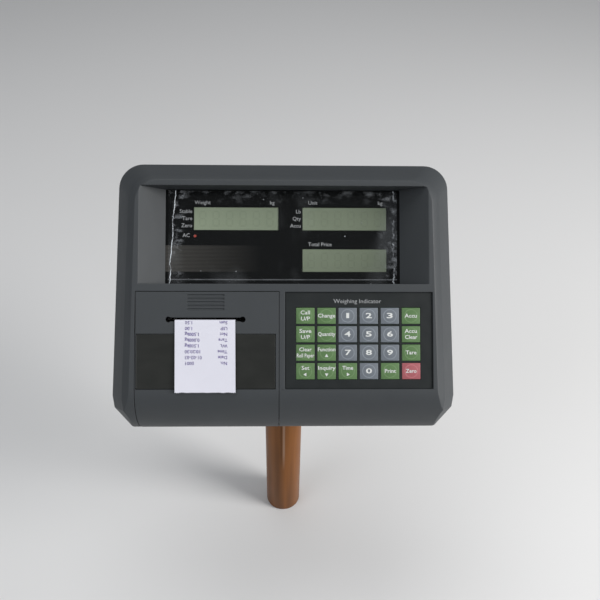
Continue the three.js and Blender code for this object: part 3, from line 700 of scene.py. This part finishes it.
class CasingLook(bpy.types.PropertyGroup):
    colour: FloatVectorProperty(
        name="Plastic",
        description="Colour of the casing plastic",
        subtype="COLOR",
        default=(0.041, 0.046, 0.050),
    )
    roughness: FloatProperty(
        name="Roughness",
        description="Roughness of the casing plastic",
        subtype="FACTOR",
        default=0.46,
    )
    grain: FloatProperty(name="Grain", description="Grain features per millimetre", default=1.7)
    edge: FloatProperty(name="Edge", description="Width of the rounded edges, in mm", default=0.45)


class DisplayLook(bpy.types.PropertyGroup):
    panel_colour: FloatVectorProperty(
        name="Panel",
        description="Colour of the display panel",
        subtype="COLOR",
        default=(0.0045, 0.005, 0.005),
    )
    band_colour: FloatVectorProperty(
        name="Band",
        description="Colour of the striped band",
        subtype="COLOR",
        default=(0.075, 0.072, 0.066),
    )
    lcd_colour: FloatVectorProperty(
        name="Displays",
        description="Colour of the liquid crystal glass",
        subtype="COLOR",
        default=(0.235, 0.28, 0.20),
    )
    band_left: FloatProperty(
        name="Band left", description="Left end of the band, in mm", default=-88.0
    )
    band_right: FloatProperty(
        name="Band right", description="Right end of the band, in mm", default=-18.0
    )
    band_low: FloatProperty(
        name="Band foot", description="Lower edge of the band, in mm", default=22.4
    )
    band_high: FloatProperty(
        name="Band top", description="Upper edge of the band, in mm", default=42.9
    )
    stripe_pitch: FloatProperty(
        name="Stripes", description="Pitch of the stripes, in mm", default=1.05
    )
    legend_size: FloatProperty(
        name="Legends", description="Size of the legends, in mm", default=4.1
    )
    film_lift: FloatProperty(
        name="Film lift", description="Height of the film's wrinkles, in mm", default=0.9
    )


class KeypadLook(bpy.types.PropertyGroup):
    word_size: FloatProperty(name="Words", description="Size of words on keys, in mm", default=4.0)
    digit_size: FloatProperty(name="Digits", description="Size of the digits, in mm", default=5.4)
    dome_radius: FloatProperty(
        name="Domes", description="Radius of the embossed rings, in mm", default=4.7
    )
    title_size: FloatProperty(name="Title", description="Size of the title, in mm", default=4.3)


class PaperLook(bpy.types.PropertyGroup):
    paper_colour: FloatVectorProperty(
        name="Paper",
        description="Colour of the receipt paper",
        subtype="COLOR",
        default=(0.74, 0.74, 0.82),
    )
    ink_colour: FloatVectorProperty(
        name="Ink",
        description="Colour of the ribbon ink",
        subtype="COLOR",
        default=(0.13, 0.09, 0.30),
    )
    print_size: FloatProperty(
        name="Print", description="Size of the printed characters, in mm", default=3.5
    )
    line_pitch: FloatProperty(
        name="Lines", description="Distance between lines, in mm", default=4.27
    )
    dot_pitch: FloatProperty(
        name="Dots", description="Distance between printed dots, in mm", default=0.36
    )
    teeth: IntProperty(name="Teeth", description="Teeth across the torn edge", default=30)


class ColumnLook(bpy.types.PropertyGroup):
    colour: FloatVectorProperty(
        name="Lacquer",
        description="Colour of the column",
        subtype="COLOR",
        default=(0.185, 0.070, 0.018),
    )


class StageLook(bpy.types.PropertyGroup):
    lens: FloatProperty(
        name="Lens", description="Focal length of the camera", unit="CAMERA", default=42.78
    )
    key_power: FloatProperty(
        name="Key", description="Power of the key light", unit="POWER", default=34.0
    )
    fill_power: FloatProperty(
        name="Fill", description="Power of the fill light", unit="POWER", default=7.0
    )
    top_power: FloatProperty(
        name="Top", description="Power of the top light", unit="POWER", default=12.0
    )
    sky: FloatProperty(
        name="Surroundings", description="Strength of the surroundings", default=0.22
    )


# Pieces

# The second finish is the painted shade of the screws' cross recesses.
SCREW_FINISHES = ("bright_steel", "black_plastic")


class INDICATOR_OT_casing(bpy.types.Operator):
    """Makes the front cover, rear housing, printer cover and battery door"""

    bl_idname = "indicator.casing"
    bl_label = "Casing"

    DOOR_EDGE = 0.3
    SCREW_PLACES = ((-98, 76), (98, 76), (-98, -91), (98, -91))
    SCREW_RADIUS = 3.0

    def execute(self, context):
        edge = context.scene.indicator_casing.edge
        for node in ("front_cover", "rear_housing", "printer_cover"):
            rounded_copy(node + "_shell", node, edge)
        rounded_copy("battery_door_plate", "battery_door", self.DOOR_EDGE)
        bm = bmesh.new()
        back = local_box("rear_housing")[1].y
        for x, z in self.SCREW_PLACES:
            screw(bm, x, back, z, self.SCREW_RADIUS)
        finished("casing_screws", bm, HEAD, "rear_housing", SCREW_FINISHES, False)
        return {"FINISHED"}


class INDICATOR_OT_vents(bpy.types.Operator):
    """Makes the louvres on the rear housing"""

    bl_idname = "indicator.vents"
    bl_label = "Vents"

    COUNT = 9
    FOOT = 26
    PITCH = 6
    LEFT, RIGHT = 8, 66
    HALF_SLIT = 1.1
    LIP_TALL = 1.2
    LIP_EDGE = 0.4

    def execute(self, context):
        bm = bmesh.new()
        back = local_box("rear_housing")[1].y
        for i in range(self.COUNT):
            z = self.FOOT + i * self.PITCH
            low, high = z - self.HALF_SLIT, z + self.HALF_SLIT
            # Painted shade: a thin black slab stands for the dark inside of each slit.
            slab(bm, self.LEFT, self.RIGHT, back - 0.4, back + 0.05, low, high, 1)
            top = high + self.LIP_TALL
            lip = slab(bm, self.LEFT - 1, self.RIGHT + 1, back - 0.3, back + 1.1, high, top)
            round_edges(bm, self.LIP_EDGE, 2, list({e for v in lip for e in v.link_edges}))
        finishes = ("casing_plastic", "black_plastic")
        finished("rear_louvres", bm, HEAD, "rear_housing", finishes, False)
        return {"FINISHED"}


class INDICATOR_OT_display(bpy.types.Operator):
    """Makes the display panel's legends, the three displays and the lamp"""

    bl_idname = "indicator.display"
    bl_label = "Display"

    LEGENDS = {
        "lcd_weight": ("Weight", "kg", ("Stable", "Tare", "Zero")),
        "lcd_unit_price": ("Unit", "kg", ("Lb", "Qty", "Accu")),
        "lcd_total_price": ("Total Price", "", ()),
    }
    DIGITS = 6
    MARGIN = 1.5
    BAR = 1.1
    SHEET_EDGE = 0.12
    BOLD = 0.004
    ABOVE = 3.6
    BESIDE_PITCH = 5.5
    LAMP_RADIUS = 1.1

    def segments(self, bm, low, high):
        """Adds the faint unlit segments of a row of digits."""
        pitch = (high.x - low.x - 2 * self.MARGIN) / self.DIGITS
        wide, tall, half = pitch * 0.56, (high.z - low.z) * 0.64, self.BAR / 2
        across, up = wide / 2 - self.BAR, tall / 4 - self.BAR * 0.6
        front, back = low.y - 0.02, low.y + 0.1
        middle = (low.z + high.z) / 2
        for i in range(self.DIGITS):
            x = low.x + self.MARGIN + pitch * (i + 0.5)
            for level in (-1, 0, 1):
                z = middle + level * tall / 2
                slab(bm, x - across, x + across, front, back, z - half, z + half)
            for side in (-1, 1):
                for level in (-1, 1):
                    z = middle + level * tall / 4
                    edge = x + side * (wide / 2 - half)
                    slab(bm, edge - half, edge + half, front, back, z - up, z + up)

    def execute(self, context):
        look = context.scene.indicator_display
        size = look.legend_size
        for node in ("display_panel", "display_board", *self.LEGENDS):
            rounded_copy(node + "_sheet", node, self.SHEET_EDGE)
        face = local_box("display_panel")[0].y - 0.03
        words = bmesh.new()
        for node, (above, unit, beside) in self.LEGENDS.items():
            low, high = local_box(node)
            start = low.x + (0.5 if node == "lcd_weight" else 4.3)
            line = high.z + self.ABOVE
            add_words(words, above, size, (start, face, line), "LEFT", 0, self.BOLD)
            if unit:
                add_words(words, unit, size, (high.x - 3.0, face, line), "RIGHT", 0, self.BOLD)
            for i, word in enumerate(beside):
                z = (low.z + high.z) / 2 + (1 - i) * self.BESIDE_PITCH
                add_words(words, word, size, (low.x - 1.2, face, z), "RIGHT", 0, self.BOLD)
            ghost = bmesh.new()
            self.segments(ghost, low, high)
            finished(node + "_segments", ghost, HEAD, node, ["lcd_ghost"], False)
        low, high = local_box("lcd_weight")
        add_words(words, "AC", size, (low.x - 3.0, face, low.z - 4.4), "RIGHT", 0, self.BOLD)
        finished("display_legends", words, HEAD, "display_panel", ["legend_dim"], False)
        lamp = bmesh.new()
        disc(lamp, low.x + 0.9, face - 0.1, face + 0.6, low.z - 4.8, self.LAMP_RADIUS, 24)
        round_edges(lamp, 0.2)
        finished("mains_lamp", lamp, HEAD, "display_panel", ["lamp_red"], False)
        return {"FINISHED"}


class INDICATOR_OT_film(bpy.types.Operator):
    """Makes the wrinkled protective film over the display"""

    bl_idname = "indicator.film"
    bl_label = "Protective film"

    LOOSE_END = 0.93
    LOOSE_RIM = 0.8
    THICKNESS = 0.05

    def execute(self, context):
        lift = context.scene.indicator_display.film_lift
        low, high = local_box("display_film")
        middle, half = (low + high) / 2, (high - low) / 2
        bm = bmesh.new()
        bmesh.ops.create_grid(bm, x_segments=110, y_segments=48, size=1.0)
        for vert in bm.verts:
            across, along = vert.co.x, vert.co.y
            x = middle.x + half.x * across
            z = middle.z + half.z * along
            end = max(0.0, (abs(across) - self.LOOSE_END) / (1.0 - self.LOOSE_END))
            rim = max(0.0, (abs(along) - self.LOOSE_RIM) / (1.0 - self.LOOSE_RIM))
            coarse = noise.noise(Vector((x * 0.05, 3.1, z * 0.12)))
            fine = noise.noise(Vector((x * 0.22, 9.7, z * 0.16)))
            crumple = max(0.0, fine) * (0.15 + 0.5 * rim + 0.8 * end)
            rise = abs(coarse) * 0.45 + crumple + end * end * 1.1
            vert.co = Vector((x, high.y - self.THICKNESS - lift * rise, z))
        bmesh.ops.solidify(bm, geom=bm.faces, thickness=self.THICKNESS)
        piece = finished("protective_film", bm, HEAD, "display_film", ["clear_film"])
        piece.visible_shadow = False
        return {"FINISHED"}


class INDICATOR_OT_keys(bpy.types.Operator):
    """Makes the overlay's title and the embossed, printed keys"""

    bl_idname = "indicator.keys"
    bl_label = "Keypad"

    WORDS = {
        "call_price": ("Call", "U/P"),
        "change": ("Change",),
        "accumulate": ("Accu",),
        "save_price": ("Save", "U/P"),
        "quantity": ("Quantity",),
        "clear_total": ("Accu", "Clear"),
        "clear": ("Clear", "Roll Paper"),
        "function": ("Function",),
        "tare": ("Tare",),
        "set": ("Set",),
        "inquiry": ("Inquiry",),
        "time": ("Time",),
        "print": ("Print",),
        "zero": ("Zero",),
    }
    ARROWS = {"function": 90, "set": 180, "inquiry": 270, "time": 0}
    CAP = 1.1
    LETTER = 2.25
    THIN_LETTERS = "ilrtf"
    THIN_SHARE = 0.55
    DIGIT_WIDTH = (4.6, 2.2)
    PRINT = 0.07
    TITLE_SHARE = 0.325
    SHEET_EDGE = 0.12
    CAP_EDGE = 0.32
    STEM_RADIUS = 3.0
    RING_STEPS = 36
    ARROW_RADIUS = 1.5
    ARROW_DROP = 2.4
    FIRST_ROW = 2.3
    ROW_PITCH = 4.5
    SIDE_MARGIN = 0.8

    def ring(self, bm, x, y, z, radius):
        """Adds the dome's embossed ring to a key."""
        profile = ((-0.5, 0.1), (-0.22, -0.05), (0.22, -0.05), (0.5, 0.1))
        before = set(bm.faces)
        verts = [bm.verts.new((x + radius + across, y + deep, z)) for across, deep in profile]
        edges = [bm.edges.new((verts[i], verts[(i + 1) % 4])) for i in range(4)]
        bmesh.ops.spin(
            bm,
            geom=verts + edges,
            cent=(x, y, z),
            axis=(0, 1, 0),
            angle=2 * math.pi,
            steps=self.RING_STEPS,
            use_merge=True,
        )
        # The ring's faces take the ring finish, painted lighter than the key as a highlight.
        for face in set(bm.faces) - before:
            face.material_index = 2

    def arrow(self, bm, x, y, z, turn):
        place = Matrix.Translation((x, y, z)) @ Matrix.Rotation(-math.radians(turn), 4, "Y")
        stand = Matrix.Rotation(math.pi / 2, 4, "X")
        place = place @ stand @ Matrix.Rotation(-math.pi / 2, 4, "Z")
        ends = {"radius1": self.ARROW_RADIUS, "radius2": self.ARROW_RADIUS, "depth": 0.04}
        made = bmesh.ops.create_cone(bm, cap_ends=True, segments=3, matrix=place, **ends)
        paint(made["verts"], 1)

    def execute(self, context):
        look = context.scene.indicator_keypad
        for node in ("keypad_overlay", "keypad_board"):
            rounded_copy(node + "_sheet", node, self.SHEET_EDGE)
        for node in [n for n in frame["nodes"] if n.startswith("key_")]:
            name = node[len("key_"):]
            low, high = local_box(node)
            x, z = (low.x + high.x) / 2, (low.z + high.z) / 2
            bm = bmesh.new()
            slab(bm, low.x, high.x, low.y, low.y + self.CAP, low.z, high.z)
            round_edges(bm, self.CAP_EDGE, 3)
            disc(bm, x, low.y + self.CAP - 0.1, high.y, z, self.STEM_RADIUS, 16)
            self.ring(bm, x, low.y, z, look.dome_radius)
            face = low.y - self.PRINT
            if name.isdigit():
                width = self.DIGIT_WIDTH[name == "1"]
                add_words(bm, name, look.digit_size, (x, face, z), bold=0.02, fit=width)
            lines = self.WORDS.get(name, ())
            rows = len(lines) + (name in self.ARROWS)
            for i, line in enumerate(lines):
                thin = sum(letter in self.THIN_LETTERS for letter in line)
                letters = len(line) - thin * (1.0 - self.THIN_SHARE)
                width = min(self.LETTER * letters, high.x - low.x - self.SIDE_MARGIN)
                rise = 0.0 if rows == 1 else self.FIRST_ROW - i * self.ROW_PITCH
                add_words(bm, line, look.word_size, (x, face, z + rise), bold=0.014, fit=width)
            if name in self.ARROWS:
                self.arrow(bm, x, face, z - self.ARROW_DROP, self.ARROWS[name])
            slot = slot_of(node)
            finishes = (slot, "legend_white", slot.replace("key", "ring"))
            finished(node + "_cap", bm, HEAD, node, finishes)
        low, high = local_box("keypad_overlay")
        title = bmesh.new()
        place = ((low.x + high.x) / 2 - 1.2, low.y - 0.02, high.z - 6.6)
        width = (high.x - low.x) * self.TITLE_SHARE
        add_words(title, "Weighing Indicator", look.title_size, place, slot=0, fit=width)
        finished("keypad_title", title, HEAD, "keypad_overlay", ["legend_dim"], False)
        return {"FINISHED"}


class INDICATOR_OT_paper(bpy.types.Operator):
    """Makes the printed paper strip and the paper roll"""

    bl_idname = "indicator.paper"
    bl_label = "Paper"

    LINES = (
        ("Sum", "1.50"),
        ("U/P", "1.00"),
        ("Net", "1.500kg"),
        ("Tare", "0.000kg"),
        ("Wt.", "1.500kg"),
        ("Time", "10:20:30"),
        ("Date", "01-02-03"),
        ("No.", "0001"),
    )
    BEND = 1.5
    QUARTER = BEND * math.pi / 2
    INSIDE = 3.4
    FIRST_LINE = -2.2
    THICKNESS = 0.09
    PRINT_GAP = 0.16
    MARGINS = (7.5, 5.6)

    def place(self, across, along, low, high):
        """The point at a distance along the paper from its inner end."""
        x = (low.x + high.x) / 2 + (high.x - low.x) / 2 * across
        top = high.z - 0.1
        front = low.y + 0.12
        if along < self.INSIDE:
            return Vector((x, front + self.BEND + self.INSIDE - along, top))
        if along < self.INSIDE + self.QUARTER:
            angle = (along - self.INSIDE) / self.BEND
            y = front + self.BEND * (1 - math.sin(angle))
            return Vector((x, y, top - self.BEND * (1 - math.cos(angle))))
        down = along - self.INSIDE - self.QUARTER
        share = down / (high.z - low.z)
        curl = 0.9 * share * share + 0.1 * (1 - math.cos(share * 7.0)) * (1 + 0.5 * across)
        bow = 0.35 * share * across * across
        return Vector((x + 0.5 * share, front - curl - bow, top - self.BEND - down))

    def execute(self, context):
        look = context.scene.indicator_paper
        low, high = local_box("paper_strip")
        length = self.INSIDE + self.QUARTER + (high.z - low.z) - self.BEND
        bm = bmesh.new()
        bmesh.ops.create_grid(bm, x_segments=look.teeth * 2, y_segments=72, size=1.0)
        for vert in bm.verts:
            across, share = vert.co.x, (1 - vert.co.y) / 2
            point = self.place(across, share * length, low, high)
            if share > 0.999:
                odd = round((across + 1) * look.teeth) % 2
                point.z += 0.55 * odd + 0.35 * noise.noise(Vector((across * 6, 1.0, 2.0)))
            vert.co = point
        bmesh.ops.solidify(bm, geom=bm.faces, thickness=self.THICKNESS)
        finished("receipt_strip", bm, HEAD, "paper_strip", ["receipt_paper"])

        ink = bmesh.new()
        style = {"slot": 0, "bold": 0.012, "turned": True, "thick": 0.005}
        left, right = low.x + self.MARGINS[0], high.x - self.MARGINS[1]
        for i, (label, value) in enumerate(self.LINES):
            z = high.z + self.FIRST_LINE - i * look.line_pitch
            for words, x, align in ((label, right, "LEFT"), (value, left, "RIGHT")):
                add_words(ink, words, look.print_size, (x, 0.0, z), align, **style)
        for vert in ink.verts:
            across = (vert.co.x - (low.x + high.x) / 2) / ((high.x - low.x) / 2)
            along = self.INSIDE + self.QUARTER + high.z - 0.1 - self.BEND - vert.co.z
            paper = self.place(across, along, low, high)
            vert.co = Vector((vert.co.x, paper.y - self.PRINT_GAP + vert.co.y, vert.co.z))
        finished("receipt_print", ink, HEAD, "paper_strip", ["ribbon_ink"], False)
        rounded_copy("paper_roll_wound", "paper_roll", 0.3)
        return {"FINISHED"}


class INDICATOR_OT_column(bpy.types.Operator):
    """Makes the lacquered column"""

    bl_idname = "indicator.column"
    bl_label = "Column"

    SIDES = 72
    WALL = 1.5
    HOLLOW = 25.0
    END_EDGE = 0.6

    def execute(self, context):
        low, high = (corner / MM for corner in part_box("column"))
        radius = (high.x - low.x) / 2
        tall = high.z - low.z
        bm = bmesh.new()
        place = Matrix.Translation((0, 0, low.z + tall / 2))
        ends = {"radius1": radius, "radius2": radius, "depth": tall}
        bmesh.ops.create_cone(bm, cap_ends=True, segments=self.SIDES, matrix=place, **ends)
        lid = max(bm.faces, key=lambda f: f.calc_center_median().z)
        bmesh.ops.inset_region(bm, faces=[lid], thickness=self.WALL)
        sunk = bmesh.ops.extrude_face_region(bm, geom=[lid])
        floor = [v for v in sunk["geom"] if isinstance(v, bmesh.types.BMVert)]
        bmesh.ops.translate(bm, verts=floor, vec=(0, 0, -self.HOLLOW))
        bmesh.ops.delete(bm, geom=[lid], context="FACES")
        round_edges(bm, self.END_EDGE, 3, level_edges(sharp_edges(bm), 2))
        finished("lacquered_column", bm, UPRIGHT, "column", ["column_lacquer"])
        return {"FINISHED"}


class INDICATOR_OT_mounting(bpy.types.Operator):
    """Makes the bracket, column head, bolt, knobs and bracket screws"""

    bl_idname = "indicator.mounting"
    bl_label = "Mounting"

    ROUNDED = {
        "tilt_bracket": ("head_bracket", 0.5, 2),
        "column_sleeve": ("column_head", 0.9, 3),
        "pivot_bolt_hex": ("pivot_bolt", 0.4, 2),
        "tilt_star_knob": ("tilt_knob", 0.9, 3),
        "swivel_star_knob": ("swivel_knob", 0.7, 3),
    }
    PLATE = 3.3
    SCREW_INSET = 5.2
    SCREW_RISES = (8, 48)
    SCREW_RADIUS = 2.6

    def execute(self, context):
        for name, (node, width, segments) in self.ROUNDED.items():
            rounded_copy(name, node, width, segments)
        bm = bmesh.new()
        low, high = local_box("head_bracket")
        back = local_box("rear_housing")[1].y + self.PLATE
        for x in (low.x + self.SCREW_INSET, high.x - self.SCREW_INSET):
            for rise in self.SCREW_RISES:
                screw(bm, x, back, low.z + rise, self.SCREW_RADIUS)
        finished("bracket_screws", bm, HEAD, "head_bracket", SCREW_FINISHES, False)
        return {"FINISHED"}


class INDICATOR_OT_sockets(bpy.types.Operator):
    """Makes the mains inlet, power switch and scale socket"""

    bl_idname = "indicator.sockets"
    bl_label = "Sockets"

    ROUNDED = {
        "mains_inlet": ("power_inlet", 0.35, 2),
        "switch_bezel": ("switch_frame", 0.35, 2),
        "switch_rocker": ("power_rocker", 0.5, 3),
        "scale_connector": ("scale_socket", 0.3, 2),
    }

    def execute(self, context):
        for name, (node, width, segments) in self.ROUNDED.items():
            rounded_copy(name, node, width, segments)
        return {"FINISHED"}


class INDICATOR_OT_inside(bpy.types.Operator):
    """Finishes the printer, electrics and other pieces inside the casing"""

    bl_idname = "indicator.inside"
    bl_label = "Inside"

    ROUNDED = {
        "printer_window": 0.3,
        "platen_roller": 0.15,
        "motor_gear": 0.12,
        "printer_motor": 0.4,
        "printer_frame": 0.2,
        "print_carriage": 0.5,
        "ribbon_cartridge": 0.6,
        "roll_spindle": 0.5,
        "cover_hinge_pin": 0.3,
        "transformer": 0.8,
        "battery": 1.6,
        "main_board": 0.15,
    }

    def execute(self, context):
        for node, width in self.ROUNDED.items():
            rounded_copy(node + "_piece", node, width)
        return {"FINISHED"}


class INDICATOR_OT_stage(bpy.types.Operator):
    """Makes the pale floor, the soft lights and the camera"""

    bl_idname = "indicator.stage"
    bl_label = "Stage"

    EYE = (-2.2, -528.0, -24.0)
    SIGHT = (0.0262, 0.9986, 0.0454)
    FLOOR = 6.0
    FLOOR_DROP = 0.0005
    AIM = (0.0, 0.0, 0.3)
    SKY_COLOUR = (0.92, 0.95, 1.0, 1.0)

    def light(self, name, place, size, power, colour):
        lamp = bpy.data.lights.new(name, "AREA")
        lamp.shape = "DISK"
        lamp.size = size
        lamp.energy = power
        lamp.color = colour
        holder = bpy.data.objects.new(name, lamp)
        holder.location = place
        sight = Vector(self.AIM) - Vector(place)
        holder.rotation_euler = sight.to_track_quat("-Z", "Y").to_euler()
        bpy.context.scene.collection.objects.link(holder)

    def camera(self, look):
        lens = bpy.data.cameras.new("camera")
        lens.lens = look.lens
        lens.sensor_width = 36.0
        lens.clip_start = 0.01
        holder = bpy.data.objects.new("camera", lens)
        turn = HEAD.to_3x3().normalized()
        sight = (turn @ Vector(self.SIGHT)).normalized()
        across = sight.cross(turn @ Vector((0, 0, 1))).normalized()
        up = across.cross(sight)
        basis = Matrix((across, up, -sight)).transposed().to_4x4()
        holder.matrix_world = Matrix.Translation(HEAD @ Vector(self.EYE)) @ basis
        bpy.context.scene.collection.objects.link(holder)
        bpy.context.scene.camera = holder

    def execute(self, context):
        look = context.scene.indicator_stage
        bm = bmesh.new()
        place = Matrix.Translation((0, 0, -self.FLOOR_DROP))
        bmesh.ops.create_grid(bm, x_segments=2, y_segments=2, size=self.FLOOR, matrix=place)
        mesh = bpy.data.meshes.new("floor")
        bm.to_mesh(mesh)
        bm.free()
        mesh.materials.append(material("pale_floor"))
        floor = bpy.data.objects.new("floor", mesh)
        context.scene.collection.objects.link(floor)
        self.light("key", (1.60, -0.60, 1.10), 0.9, look.key_power, (1.0, 0.985, 0.97))
        self.light("fill", (-1.3, -0.9, 1.3), 1.2, look.fill_power, (0.93, 0.96, 1.0))
        self.light("top", (-0.2, 0.3, 2.1), 1.3, look.top_power, (1.0, 1.0, 1.0))
        world = bpy.data.worlds.new("surroundings")
        world.use_nodes = True
        sky = world.node_tree.nodes["Background"].inputs
        sky["Color"].default_value = self.SKY_COLOUR
        sky["Strength"].default_value = look.sky
        context.scene.world = world
        context.scene.view_settings.view_transform = "Standard"
        self.camera(look)
        return {"FINISHED"}


LOOKS = {
    "indicator_casing": CasingLook,
    "indicator_display": DisplayLook,
    "indicator_keypad": KeypadLook,
    "indicator_paper": PaperLook,
    "indicator_column": ColumnLook,
    "indicator_stage": StageLook,
}

OPERATORS = (
    INDICATOR_OT_stage,
    INDICATOR_OT_casing,
    INDICATOR_OT_vents,
    INDICATOR_OT_display,
    INDICATOR_OT_film,
    INDICATOR_OT_keys,
    INDICATOR_OT_paper,
    INDICATOR_OT_column,
    INDICATOR_OT_mounting,
    INDICATOR_OT_sockets,
    INDICATOR_OT_inside,
)


class INDICATOR_PT_panel(bpy.types.Panel):
    """Lists the pieces, sizes and colours"""

    bl_label = "Indicator"
    bl_idname = "INDICATOR_PT_panel"
    bl_space_type = "VIEW_3D"
    bl_region_type = "UI"
    bl_category = "Indicator"

    def draw(self, context):
        for operator in OPERATORS:
            self.layout.operator(operator.bl_idname)
        for name, group in LOOKS.items():
            for field in group.__annotations__:
                self.layout.prop(getattr(context.scene, name), field)


def register():
    for name, group in LOOKS.items():
        bpy.utils.register_class(group)
        setattr(bpy.types.Scene, name, PointerProperty(type=group))
    for operator in (*OPERATORS, INDICATOR_PT_panel):
        bpy.utils.register_class(operator)


def unregister():
    for operator in (INDICATOR_PT_panel, *OPERATORS):
        bpy.utils.unregister_class(operator)
    for name, group in LOOKS.items():
        delattr(bpy.types.Scene, name)
        bpy.utils.unregister_class(group)


def main():
    register()
    for operator in OPERATORS:
        getattr(bpy.ops.indicator, operator.bl_idname.split(".")[1])()


if __name__ == "__main__":
    main()
